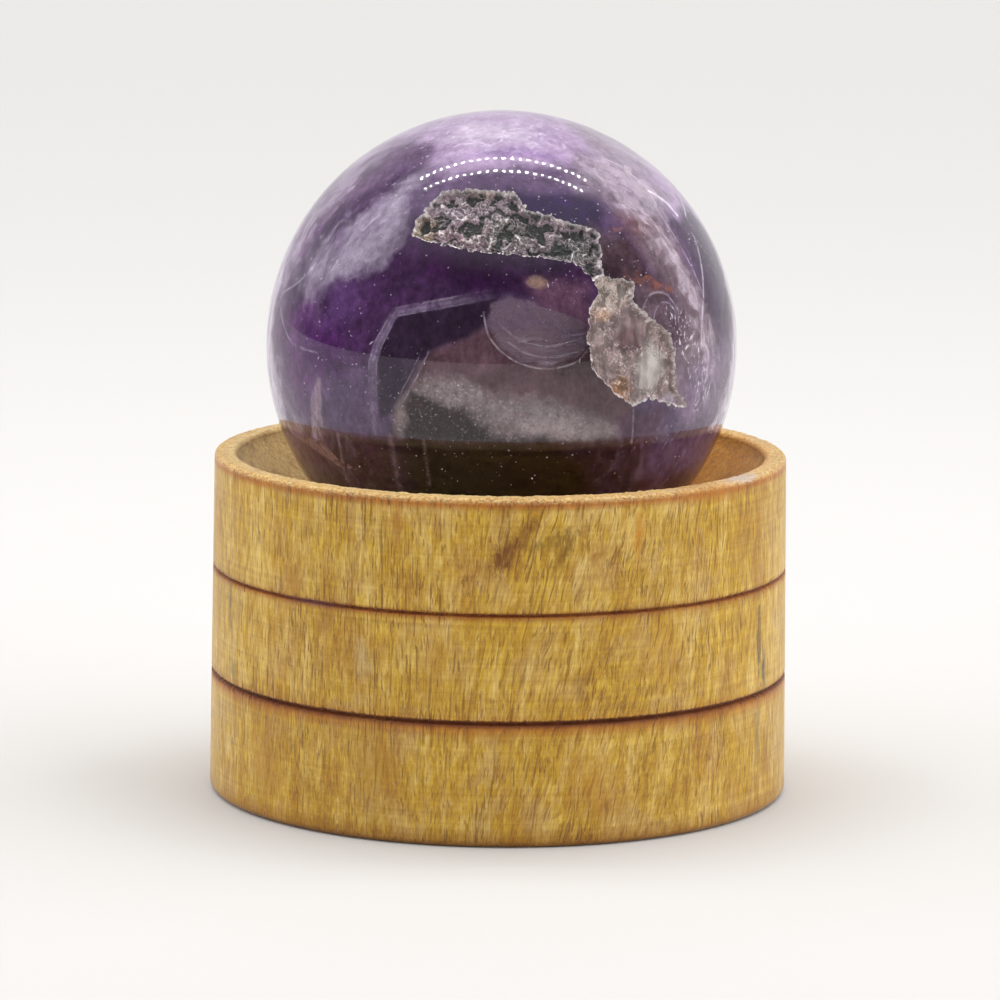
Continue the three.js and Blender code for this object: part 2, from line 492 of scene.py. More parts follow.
wood = dict(
    # colours of the bare timber
    amber="#97640c", honey="#b28a20", straw="#cdac60", rose="#b39264", vessel="#704508", pale="#dcc88c",
    endGrain="#c09c5c", endAmber="#bb7808", endDark="#8a5a1c", nap="#d9bf84",
    # sizes in mm: across the grain, across the grain, along it
    streak=(1.0, 1.0, 8), band=(6, 6, 20), fibre=(0.24, 0.24, 2.4), pore=(0.22, 0.22, 5.6), dash=(0.24, 0.24, 1.8),
    turning=(40, 40, 0.42), mottle=(0.8, 0.8, 1.8), fleck=(0.24, 0.24, 0.45), blotch=(5, 5, 8),
    rosy=(4.5, 4.5, 6), curl=(2.4, 2.4, 6), crowd=(6, 6, 9), ragged=(0.5, 0.5, 1.3),
    endPatch=(2.6, 2.6, 1.3), endSpeckle=(0.35, 0.35, 0.5), tuft=(0.32, 0.32, 0.24),
    bumpHeight=0.10,
    dishEdge=(29.7, 28.4),       # mm from the axis, where side grain gives way to end grain
    napInside=(28.0, 28.6),      # mm from the axis, where the fuzzy nap of the rim begins
    napHeight=(35.4, 36.1),      # mm, where it begins on the outside
    stainRadius=30, stainDepth=3,    # mm from the axis to a stain's middle, and how far in it reaches
    stainRagged=4.4,
    leanBetween=((-10, 8), (30, 14)),    # mm from the middle, where the lean sets in and where it stops
    leanPivot=12, wander=0.9,
    lean=0.20,           # how far the grain leans from upright in the middle of the front
    # height in mm and the tint multiplied in there: the two grooves scorched by the tool, with painted shade in and
    # beside them; darker towards the foot and in a band under the rim
    scorchAndShade=[(0, "#b08c62"), (0.6, "#dcc6a4"), (2.2, "#ffffff"), (11.3, "#ffffff"), (12.2, "#e8c69a"),
        (12.56, "#c08a54"), (12.72, "#96603a"), (12.95, "#8a5634"), (13.2, "#9c683e"), (13.36, "#f4e2c8"),
        (14.0, "#ffffff"), (23.4, "#ffffff"), (23.88, "#dcb484"), (24.02, "#b0744a"), (24.2, "#a06840"),
        (24.38, "#dcbc90"), (24.7, "#ffffff"), (34.9, "#ffffff"), (35.5, "#dfa45c"), (35.9, "#e6bc7e"),
        (36.4, "#fff4e0")],
    # azimuth in degrees from the front, height, half sizes across and up in mm, and how far it leans in degrees
    stainsAndGlint=[
        dict(at=(2.5, 31.3), size=(0.7, 3.2), lean=42, colour="#663400", strength=1.0),
        dict(at=(0.3, 30.2), size=(1.1, 1.3), lean=20, colour="#6a3800", strength=1.0),
        dict(at=(10.6, 31.9), size=(0.7, 2.2), lean=72, colour="#775400", strength=0.95),
        dict(at=(12.5, 30.7), size=(0.6, 1.5), lean=25, colour="#775200", strength=0.95),
        dict(at=(18.9, 30.1), size=(0.35, 0.9), lean=75, colour="#965e00", strength=0.95),
        dict(at=(27.8, 31.9), size=(0.5, 2.2), lean=3, colour="#b97c08", strength=1.0),
        dict(at=(-43.5, 26.3), size=(1.3, 1.4), lean=0, colour="#9c6a10", strength=0.9),
        dict(at=(-36, 22.0), size=(0.8, 1.1), lean=0, colour="#8f6228", strength=0.6),
        dict(at=(-39, 24.15), size=(2.6, 0.28), lean=0, colour="#6d4650", strength=0.75),
        dict(at=(62.8, 18.9), size=(0.42, 3.8), lean=0, colour="#4c4234", strength=1.0),
        dict(at=(65.2, 15.4), size=(0.50, 1.8), lean=0, colour="#5c523f", strength=1.0),
        dict(at=(62.5, 8.6), size=(0.45, 2.8), lean=0, colour="#7a6c50", strength=0.8),
        dict(at=(-66.8, 21.6), size=(0.35, 2.2), lean=0, colour="#665c46", strength=0.95),
        dict(at=(-65, 14.6), size=(0.5, 0.9), lean=0, colour="#6e624a", strength=0.8),
        dict(at=(46, 35.4), size=(4.0, 0.7), lean=0, colour="#ab6a1e", strength=0.75),
        # not a stain: a painted glint of the gloss on the inner rim
        dict(at=(58, 36.3), size=(2.4, 0.35), lean=0, colour="#b4b0b8", strength=0.75),
        dict(at=(-25, 8.0), size=(2.2, 4.0), lean=0, colour="#9a6c20", strength=0.6),
        dict(at=(-52, 6.0), size=(2.4, 3.4), lean=0, colour="#a87c34", strength=0.6),
        dict(at=(-12, 19.5), size=(1.2, 3.2), lean=10, colour="#a3742a", strength=0.5),
        dict(at=(-20, 33.8), size=(0.7, 1.3), lean=0, colour="#a8690e", strength=0.7),
        dict(at=(-27, 18.8), size=(0.9, 1.8), lean=-12, colour="#bba374", strength=0.6),
        dict(at=(34, 20.0), size=(2.0, 3.0), lean=14, colour="#b8861e", strength=0.6),
        dict(at=(20, 6.0), size=(3.0, 2.6), lean=10, colour="#a67022", strength=0.55),
        dict(at=(16, 16.4), size=(0.4, 1.1), lean=0, colour="#7a5a2c", strength=0.6),
        dict(at=(150, 18), size=(1.2, 6.0), lean=12, colour="#8f6428", strength=0.55),
        dict(at=(-130, 28), size=(1.0, 3.4), lean=-20, colour="#8f6428", strength=0.55),
        dict(at=(-95, 9), size=(0.35, 4.0), lean=0, colour="#746b54", strength=0.5),
    ],
)


def woodMaterial(name, sheen):
    # pale close-grained hardwood, lathe turned and left bare: dull, pricked with fine brown vessels,
    # scorched brown where the tool cut the two grooves, with painted shade in and beside them, end grain in the dish
    # and a fuzzy nap on the rim
    material, tree = newMaterial(name)
    place = placeInMm(tree)
    x, y, height = addNode(tree, "SeparateXYZ", {0: place}).outputs
    # the grain leans to the right in the middle of the front and wanders a little everywhere
    inLean = [addNode(tree, "MapRange", [x, *span], smooth) for span in wood["leanBetween"]]
    tilt = addNode(tree, "Math", inLean, multiply)
    above = addNode(tree, "Math", [height, wood["leanPivot"]], subtract)
    tilt = addNode(tree, "Math", [tilt, addNode(tree, "Math", [above, -wood["lean"]], multiply)], multiply)
    curl = addNode(tree, "Math", [grainNoise(tree, place, wood["curl"], 2.0), 0.5], subtract)
    lean = addNode(tree, "Math", [curl, wood["wander"], tilt], multiplyAdd)
    across, through = addNode(tree, "Math", [x, lean], add), addNode(tree, "Math", [y, curl], add)
    grain = addNode(tree, "CombineXYZ", [across, through, height])
    streak = grainNoise(tree, grain, wood["streak"], 4.0, 0.6)
    band = grainNoise(tree, grain, wood["band"], 3.0)
    mottle = grainNoise(tree, grain, wood["mottle"], 4.0, 0.7)
    shares = [addNode(tree, "Math", [streak, 0.45], multiply), addNode(tree, "Math", [band, 0.25], multiply)]
    tone = addNode(tree, "Math", shares, add)
    tone = addNode(tree, "Math", [mottle, 0.30, tone], multiplyAdd)
    stops = [(0.32, wood["amber"]), (0.48, wood["honey"]), (0.64, wood["straw"])]
    colour = addNode(tree, "ValToRGB", [tone], {"stops": stops})
    rosy = grainNoise(tree, place, wood["rosy"], 3.0, 0.6)
    colour = tintWhere(tree, colour, rosy, (0.50, 0.66, 0.34), wood["rose"])
    blotch = grainNoise(tree, grain, wood["blotch"], 5.0, 0.6)
    colour = tintWhere(tree, colour, blotch, (0.50, 0.68, 0.45), wood["amber"])
    colour = tintWhere(tree, colour, blotch, (0.46, 0.34, 0.35), wood["straw"])
    fibre = grainNoise(tree, grain, wood["fibre"], 4.0, 0.7)
    marks = grainNoise(tree, place, wood["turning"], 3.0, 0.6)
    shares = [addNode(tree, "Math", [fibre, 0.75], multiply), addNode(tree, "Math", [marks, 0.25], multiply)]
    fine = addNode(tree, "Math", shares, add)
    colour = shadeBy(tree, colour, fine, (0.3, "#6c6c6c"), (0.5, "#bcbcbc"), (0.7, "#f4f4f4"))
    pores = addNode(tree, "MapRange", [grainNoise(tree, grain, wood["pore"], 1.0, 0.5), 0.585, 0.655], smooth)
    crowd = addNode(tree, "MapRange", [grainNoise(tree, place, wood["crowd"], 2.0), 0.30, 0.60], smooth)
    dashes = addNode(tree, "MapRange", [grainNoise(tree, grain, wood["dash"], 1.0, 0.5), 0.62, 0.70], smooth)
    dashes = addNode(tree, "Math", [dashes, 0.8], multiply)
    pores = addNode(tree, "Math", [addNode(tree, "Math", [pores, crowd], multiply), dashes], maximum)
    share = addNode(tree, "Math", [pores, 0.72], multiply)
    colour = addNode(tree, "Mix", {0: share, 6: colour, 7: wood["vessel"]}, mixed).outputs[2]
    flecks = grainNoise(tree, place, wood["fleck"], 2.0, 0.6)
    colour = tintWhere(tree, colour, flecks, (0.54, 0.70, 0.15), wood["pale"])
    # the burnt grooves with painted shade in and beside them, the darker foot and rim band, their edges frayed by the
    # grain
    fraying = addNode(tree, "Math", [addNode(tree, "Math", [fibre, 0.5], subtract), 0.7], multiply)
    frayed = addNode(tree, "Math", [height, fraying], add)
    top = wood["scorchAndShade"][-1][0]
    stops = [(h / top, tint) for h, tint in wood["scorchAndShade"]]
    scorchAndShade = addNode(tree, "ValToRGB", [addNode(tree, "Math", [frayed, top], divide)], {"stops": stops})
    scorchAndShadeBlend = {"data_type": "RGBA", "blend_type": "MULTIPLY"}
    scorchedAndShaded = addNode(tree, "Mix", {0: 1.0, 6: colour, 7: scorchAndShade}, scorchAndShadeBlend).outputs[2]
    # end grain in the dish, greyer on one side, golden with dark patches on the other
    reach = fromAxis(tree, x, y)
    wavy = addNode(tree, "Math", [x, addNode(tree, "Math", [band, 12], multiply)], add)
    across = addNode(tree, "MapRange", [wavy, -4, 26], smooth)
    ends = addNode(tree, "Mix", {0: across, 6: wood["endGrain"], 7: wood["endAmber"]}, mixed).outputs[2]
    patchy = grainNoise(tree, place, wood["endPatch"], 5.0, 0.7)
    ends = tintWhere(tree, ends, patchy, (0.50, 0.66, 0.6), wood["endDark"])
    ends = tintWhere(tree, ends, patchy, (0.50, 0.34, 0.35), wood["straw"])
    speckle = grainNoise(tree, place, wood["endSpeckle"], 4.0, 0.7)
    ends = shadeBy(tree, ends, speckle, (0.3, "#7c7c7c"), (0.5, "#bcbcbc"), (0.68, "#ececec"))
    inDish = addNode(tree, "MapRange", [reach, *wood["dishEdge"]], smooth)
    colour = addNode(tree, "Mix", {0: inDish, 6: scorchedAndShaded, 7: ends}, mixed).outputs[2]
    tufts = grainNoise(tree, place, wood["tuft"], 4.0, 0.75)
    tufts = addNode(tree, "MapRange", [tufts, 0.36, 0.64], smooth)
    nap = addNode(tree, "Math", [addNode(tree, "MapRange", [height, *wood["napHeight"]], smooth), tufts], multiply)
    nap = addNode(tree, "Math", [nap, addNode(tree, "MapRange", [reach, *wood["napInside"]], smooth)], multiply)
    share = addNode(tree, "Math", [nap, 0.80], multiply)
    colour = addNode(tree, "Mix", {0: share, 6: colour, 7: wood["nap"]}, mixed).outputs[2]
    colour = stainAndGlintWood(tree, place, fibre, colour)
    shares = [addNode(tree, "Math", [pattern, 0.5], multiply) for pattern in (fine, pores)]
    relief = addNode(tree, "Math", shares, subtract)
    bump = addNode(tree, "Bump", {"Height": relief}, Strength=0.6, Distance=wood["bumpHeight"] * mm)
    shader = addNode(tree, "BsdfPrincipled", {"Base Color": colour, "Normal": bump}, Roughness=0.5,
                     Sheen_Weight=sheen, Sheen_Roughness=0.26, Sheen_Tint=hexColour("#fff0d8"))
    addNode(tree, "OutputMaterial", {"Surface": shader})
    return material


def stainAndGlintWood(tree, place, fibre, colour):
    # paints the stains, and the painted glint on the rim, over the wood
    ragged = addNode(tree, "Math", [grainNoise(tree, place, wood["ragged"], 5.0, 0.75), 0.5], subtract)
    streaky = addNode(tree, "MapRange", [fibre, 0.26, 0.60], smooth)
    for stain in wood["stainsAndGlint"]:
        turn, height = math.radians(stain["at"][0]), stain["at"][1]
        middle = (math.sin(turn) * wood["stainRadius"], -math.cos(turn) * wood["stainRadius"], height)
        wide, tall = stain["size"]
        away = addNode(tree, "Mapping", {"Vector": place}, {"vector_type": "TEXTURE"}, Location=middle,
                       Rotation=(0, math.radians(stain["lean"]), turn), Scale=(wide, wood["stainDepth"], tall))
        away = addNode(tree, "VectorMath", {0: away}, {"operation": "LENGTH"}).outputs["Value"]
        away = addNode(tree, "Math", [ragged, wood["stainRagged"], away], multiplyAdd)
        near = addNode(tree, "MapRange", [away, 1.8, 0.2], smooth)
        share = addNode(tree, "Math", [streaky, stain["strength"]], multiply)
        share = addNode(tree, "Math", [near, share], multiply)
        colour = addNode(tree, "Mix", {0: share, 6: colour, 7: stain["colour"]}, mixed).outputs[2]
    return colour


standPiece = makeStand(woodMaterial("turned pale hardwood", 0.40), woodMaterial("hardwood end grain", 0.03))
print("stand turned:", len(standPiece.data.polygons), "faces")


# the amethyst ball
# Places on the ball are [azimuth, elevation] in degrees, azimuth from the front towards the right.

ball = dict(
    skinFacets=6,           # icosphere subdivisions before the broken places are refined
    refinements=3,          # each halves the spacing there, down to about 0.11 mm
    refineMargin=0.5,       # mm of polished stone refined round a hollow
    ior=1.544,              # quartz
    heartShare=0.78,        # how far out the cloudy heart reaches
    heartFacets=7,
    heartFineAngle=58,      # degrees from the front within which the heart is refined
    heartLump=0.012,
)

druse = dict(               # a vug lined with small quartz, opened by the polishing
    depth=0.80, rise=0.60, wall=0.30, cell=1.15, ridge=0.12, jag=0.34, tone="#7e6c76",
    outline=[
        [-26, 34], [-27, 38], [-24, 43], [-21, 47], [-10, 48], [4, 47], [8, 42], [18, 39], [28, 36],
        [28, 31], [27, 25], [24, 23], [21, 27], [14, 29], [6, 30], [-9, 31], [-16, 32]],
)
crust = dict(               # a shallow scar with sugary quartz round two smooth shells
    depth=0.55, rise=0.30, wall=0.22, cell=0.8, ridge=0.10, jag=0.26, tone="#8b7674",
    outline=[
        [22, 16], [25, 20], [24, 24], [28, 24], [36, 22], [34, 18], [39, 13], [45, 9], [46, 0],
        [46, -4], [51, -9], [45, -8], [38, -5.5], [33, -7.4], [26, -2], [22, 2], [21, 10]],
    shells=[(33.5, 10.5, 6.2, 4.6), (38.5, 0.6, 4.4, 5.6)],    # azimuth, elevation, half width, half height
)
crustPatches = [            # stains in the hollows; a spot is azimuth, elevation, half width, half height
    dict(colour="#8a7560", soft=2, torn=1.5, spot=(-24, 35.5, 3.5, 4)),
    dict(colour="#866c75", soft=2, torn=2.0, spot=(-12, 36, 6, 3)),
    dict(colour="#776573", soft=1.5, torn=1.5, spot=(-17, 41, 3, 2)),
    dict(colour="#555354", soft=2.5, torn=2.0, spot=(20, 31, 7, 3.5)),
    dict(colour="#5f5758", soft=2.5, torn=2.0, spot=(1, 37, 6, 4)),
    dict(colour="#9b8574", soft=1.0, torn=1.0, spot=(-8.5, 48, 3, 1)),
    dict(colour="#aa978e", soft=1.0, torn=1.0, spot=(28, 20, 6, 4.4)),
    dict(colour="#7c6768", soft=1.2, torn=1.2, spot=(33.0, 10.8, 6.4, 4.8)),
    dict(colour="#644b4e", soft=1.0, torn=0.9, spot=(33.0, 8.4, 3.6, 3.0)),
    dict(colour="#a9856f", soft=1.0, torn=1.2, spot=(26.3, 15.2, 2.4, 1.1)),
    dict(colour="#988e8b", soft=1.6, torn=1.4, spot=(38.3, 0.8, 4.2, 5.4)),
    dict(colour="#aaa19d", soft=2.0, torn=2.2, spot=(39.0, 2.6, 2.4, 3.6)),
    dict(colour="#92694c", soft=1.6, torn=2.4, spot=(29.6, -4.6, 3.4, 2.6)),
    dict(colour="#a2939f", soft=1.0, torn=0.6, spot=(46.5, -7, 3.5, 1.6)),
]


def wayTo(azimuth, elevation):
    a, e = math.radians(azimuth), math.radians(elevation)
    return Vector((math.sin(a) * math.cos(e), -math.cos(a) * math.cos(e), math.sin(e)))


def anglesOf(ways):
    # azimuth and elevation in degrees of an array of unit vectors
    return np.degrees(np.arctan2(ways[:, 0], -ways[:, 1])), np.degrees(np.arcsin(np.clip(ways[:, 2], -1, 1)))


def smoothStep(low, high, value):
    t = np.clip((value - low) / (high - low), 0, 1)
    return t * t * (3 - 2 * t)


def depthInside(x, y, outline, squeeze=1.0):
    # distance inside (+) or outside (-) a closed outline; squeeze narrows the first coordinate
    best = np.full(len(x), 1e9)
    inside = np.zeros(len(x), bool)
    for (x0, y0), (x1, y1) in zip(outline, outline[1:] + outline[:1]):
        fromX, fromY, runX, runY = (x0 - x) * squeeze, y0 - y, (x1 - x0) * squeeze, y1 - y0
        along = np.clip(-(fromX * runX + fromY * runY) / (runX * runX + runY * runY + 1e-12), 0, 1)
        best = np.minimum(best, np.hypot(fromX + runX * along, fromY + runY * along))
        if y0 != y1:
            inside ^= ((y0 > y) != (y1 > y)) & (x < x0 + (x1 - x0) * (y - y0) / (y1 - y0))
    return np.where(inside, best, -best)


def hollowDepthInside(ways, hollow):
    # mm inside a hollow's jagged outline
    azimuth, elevation = anglesOf(ways)
    degree = math.radians(ballRadius / mm)
    inside = depthInside(azimuth, elevation, hollow["outline"], np.cos(np.radians(elevation))) * degree
    near = np.abs(inside) < 1.5
    jag = np.zeros(len(ways))
    jag[near] = [noise.noise(Vector(w) * 38) + 0.5 * noise.noise(Vector(w) * 90) for w in ways[near]]
    return inside + hollow["jag"] * jag


def newIcosphere(facets, radius):
    work = bmesh.new()
    bmesh.ops.create_icosphere(work, subdivisions=facets, radius=radius)
    return work


def meshWays(work):
    places = np.array([v.co for v in work.verts])
    return places / np.linalg.norm(places, axis=1)[:, None]


def refineWhere(work, wanted, radius):
    # halves the edges of each triangle that has a wanted corner, and rounds the new points
    work.verts.ensure_lookup_table()
    edges = {e for face in work.faces if any(wanted[v.index] for v in face.verts) for e in face.edges}
    bmesh.ops.subdivide_edges(work, edges=list(edges), cuts=1, use_grid_fill=True)
    bmesh.ops.triangulate(work, faces=[f for f in work.faces if len(f.verts) > 3])
    work.verts.index_update()
    for vert in work.verts:
        vert.co = vert.co.normalized() * radius


def finishBall(work, name, materials):
    bmesh.ops.translate(work, vec=ballCentre, verts=work.verts)
    mesh = bpy.data.meshes.new(name)
    work.to_mesh(mesh)
    work.free()
    for material in materials:
        mesh.materials.append(material)
    smoothFaces(mesh)
    obj = bpy.data.objects.new(name, mesh)
    scene.collection.objects.link(obj)
    return obj


def drusyRelief(way, hollow):
    # 0 at the bottom of a hole between crystals, 1 on top of a ridge; the ridges wander like worms
    place = Vector(way) * (ballRadius / mm / hollow["cell"])
    place += 0.8 * Vector((noise.noise(place * 1.1), noise.noise(place * 1.1 + Vector((7, 3, 1))),
                           noise.noise(place * 1.1 + Vector((1, 8, 5)))))
    worms = 1 - min(1, abs(noise.noise(place)) / hollow["ridge"])
    finer = 1 - min(1, abs(noise.noise(place * 1.9 + Vector((3, 1, 6)))) / (1.3 * hollow["ridge"]))
    finest = 1 - min(1, abs(noise.noise(place * 3.6 + Vector((8, 4, 2)))) / (1.6 * hollow["ridge"]))
    hole = smoothStep(0.0, 0.26, noise.noise(place * 0.8 + Vector((2, 9, 4))))
    lump = 0.10 * noise.noise(place * 5) + 0.16 * noise.noise(place * 0.9 + Vector((6, 6, 1)))
    return float(np.clip(0.36 + lump - 0.30 * hole + (0.60 - 0.22 * hole) * max(worms, 0.8 * finer, 0.5 * finest),
            0, 1))


def shellDepth(way):
    # how far inside one of the scar's smooth shells, 0 at its rim and 1 in its middle
    azimuth, elevation = anglesOf(np.array([way]))
    return max(0, max(1 - math.hypot((azimuth[0] - a) / wide, (elevation[0] - e) / tall) for a, e, wide,
            tall in crust["shells"]))


def makeSkin(polished, crusty):
    radius = ballRadius
    work = newIcosphere(ball["skinFacets"], radius)
    hollows = (druse, crust)
    for step in range(ball["refinements"]):
        ways = meshWays(work)
        margin = ball["refineMargin"] * 2 ** (ball["refinements"] - 1 - step)
        inside = np.maximum(*[hollowDepthInside(ways, h) for h in hollows])
        refineWhere(work, inside > -margin, radius)
    ways = meshWays(work)
    depths = [hollowDepthInside(ways, h) for h in hollows]
    deepest = np.maximum(*depths)
    relief, scar, sink, sugar = (np.zeros(len(ways)) for _ in range(4))
    tone = np.zeros((len(ways), 4))
    for hollow, inside in zip(hollows, depths):
        for i in np.nonzero(inside > 0)[0]:
            high = drusyRelief(ways[i], hollow)
            shell = shellDepth(ways[i]) if hollow is crust else 0
            rough = 1 - smoothStep(0.0, 0.45, shell)
            high = 0.52 + (high - 0.52) * (0.12 + 0.88 * rough)
            high = 0.5 + (high - 0.5) * (0.3 + 0.7 * smoothStep(0.05, 0.5, inside[i]))
            wall = min(1.0, inside[i] / hollow["wall"])
            depth = (hollow["depth"] + hollow["rise"] * (0.5 - high) + 0.35 * shell) * wall
            if depth > sink[i]:
                sink[i], relief[i], sugar[i] = depth, high, rough
                scar[i] = 0 if hollow is druse else 0.55 + 0.45 * smoothStep(20, 15, anglesOf(ways[i:i + 1])[1][0])
                tone[i] = hexColour(hollow["tone"])
    inner = np.nonzero(sink > 0)[0]
    tone[inner] = paintPatches(ways[inner], crustPatches, tone[inner], swayOf(ways[inner], 9))
    for vert, depth in zip(work.verts, sink):
        vert.co = vert.co.normalized() * (radius - depth * mm)
    for face in work.faces:
        face.material_index = 1 if max(deepest[v.index] for v in face.verts) > 0 else 0
    for edge in work.edges:
        if len(edge.link_faces) == 2:
            edge.smooth = edge.link_faces[0].material_index == edge.link_faces[1].material_index
    skin = finishBall(work, "amethyst_skin", [polished, crusty])
    lip = np.exp(-(np.maximum(deepest, 0) / 0.09) ** 2) * (deepest > -0.2)
    wall = 1 - smoothStep(0.12, 0.55, np.maximum(deepest, 0))
    for label, values in (("relief", relief), ("scar", scar), ("lip", lip), ("wall", wall), ("sugar", sugar)):
        skin.data.attributes.new(label, "FLOAT", "POINT").data.foreach_set("value", values)
    skin.data.color_attributes.new("tone", "FLOAT_COLOR", "POINT").data.foreach_set("color", tone.ravel())
    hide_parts("amethyst_sphere")
    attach(skin, "root")
    return skin


def polishedMaterial():
    # polished quartz: clear, faintly lilac, with a wet gloss; lamps shine through it
    material, tree = newMaterial("polished amethyst")
    glass = addNode(tree, "BsdfPrincipled", Base_Color=hexColour("#f4ecf8"), Roughness=0.0,
                    IOR=ball["ior"], Transmission_Weight=1.0)
    clear = addNode(tree, "BsdfTransparent")
    rays = addNode(tree, "LightPath")
    mix = addNode(tree, "MixShader", {0: rays.outputs["Is Shadow Ray"], 1: glass, 2: clear})
    addNode(tree, "OutputMaterial", {"Surface": mix})
    return material


def crustMaterial():
    # rough drusy quartz: pale sugary ridges over dark grey-green holes, the holes' darkness partly their own colour
    # and partly painted shade that deepens with depth, stained here and there
    material, tree = newMaterial("drusy quartz crust")
    place = placeInMm(tree)
    named = {}
    for label in ("relief", "scar", "lip", "wall", "sugar", "tone"):
        named[label] = addNode(tree, "Attribute", settings={"attribute_name": label})
    scar, lip = named["scar"].outputs["Fac"], named["lip"].outputs["Fac"]
    grit = grainNoise(tree, place, (0.3, 0.3, 0.3), 3.0, 0.7)
    flaws = grainNoise(tree, place, (0.8, 0.8, 2.0), 3.0, 0.6)
    rough = addNode(tree, "Math", [1.0, addNode(tree, "Math", [scar, 0.7], multiply)], subtract)
    gritty = addNode(tree, "Math", [grit, 0.5], subtract)
    gritty = addNode(tree, "Math", [gritty, addNode(tree, "Math", [rough, 0.5], multiply)], multiply)
    height = addNode(tree, "Math", [named["relief"].outputs["Fac"], gritty], add)
    # on the steep walls the crystals are only painted
    pocks = addNode(tree, "Math", [grainNoise(tree, place, (0.85, 0.85, 0.85), 3.0, 0.6), 3.0, -1.0], multiplyAdd)
    height = addNode(tree, "Mix", {0: named["wall"].outputs["Fac"], 2: height, 3: pocks})
    # crisp crystal edges, finer than the mesh
    edges = addNode(tree, "Math", [grainNoise(tree, place, (0.8, 0.8, 0.8), 3.0, 0.6), 0.5], subtract)
    edges = addNode(tree, "Math", [edges], {"operation": "ABSOLUTE"})
    edges = addNode(tree, "MapRange", [edges, 0.030, 0.0], smooth)
    edges = addNode(tree, "Math", [edges, addNode(tree, "MapRange", [height, 0.22, 0.45], smooth)], multiply)
    sugary = addNode(tree, "Math", [named["sugar"].outputs["Fac"], 0.85, 0.15], multiplyAdd)
    edges = addNode(tree, "Math", [edges, sugary], multiply)
    colour = shadeBy(tree, named["tone"].outputs["Color"], flaws, (0.35, "#9a9a9a"), (0.5, "#bcbcbc"),
        (0.65, "#e0e0e0"))
    # the holes darken with depth: their own grey-green with painted shade
    holes = addNode(tree, "MapRange", [height, 0.48, 0.24], smooth)
    holes = addNode(tree, "Math", [holes, addNode(tree, "Math", [scar, -0.60, 0.97], multiplyAdd)], multiply)
    colour = addNode(tree, "Mix", {0: holes, 6: colour, 7: "#2c302e"}, mixed).outputs[2]
    ridges = addNode(tree, "MapRange", [height, 0.66, 0.92], smooth)
    ridges = addNode(tree, "Math", [ridges, addNode(tree, "Math", [edges, 0.46], multiply)], maximum)
    ridges = addNode(tree, "Math", [ridges, addNode(tree, "Math", [scar, -0.15, 0.80], multiplyAdd)], multiply)
    colour = addNode(tree, "Mix", {0: ridges, 6: colour, 7: "#ece4e2"}, mixed).outputs[2]
    brokenLip = addNode(tree, "MapRange", [grit, 0.38, 0.58], smooth)
    brokenLip = addNode(tree, "Math", [brokenLip, 0.55, 0.25], multiplyAdd)
    brokenLip = addNode(tree, "Math", [lip, brokenLip], multiply)
    colour = addNode(tree, "Mix", {0: brokenLip, 6: colour, 7: "#dcd4d4"}, mixed).outputs[2]
    bump = addNode(tree, "Bump", {"Height": grit}, Strength=0.4, Distance=0.08 * mm)
    shader = addNode(tree, "BsdfPrincipled", {"Base Color": colour, "Normal": bump}, Roughness=0.4)
    addNode(tree, "OutputMaterial", {"Surface": shader})
    return material


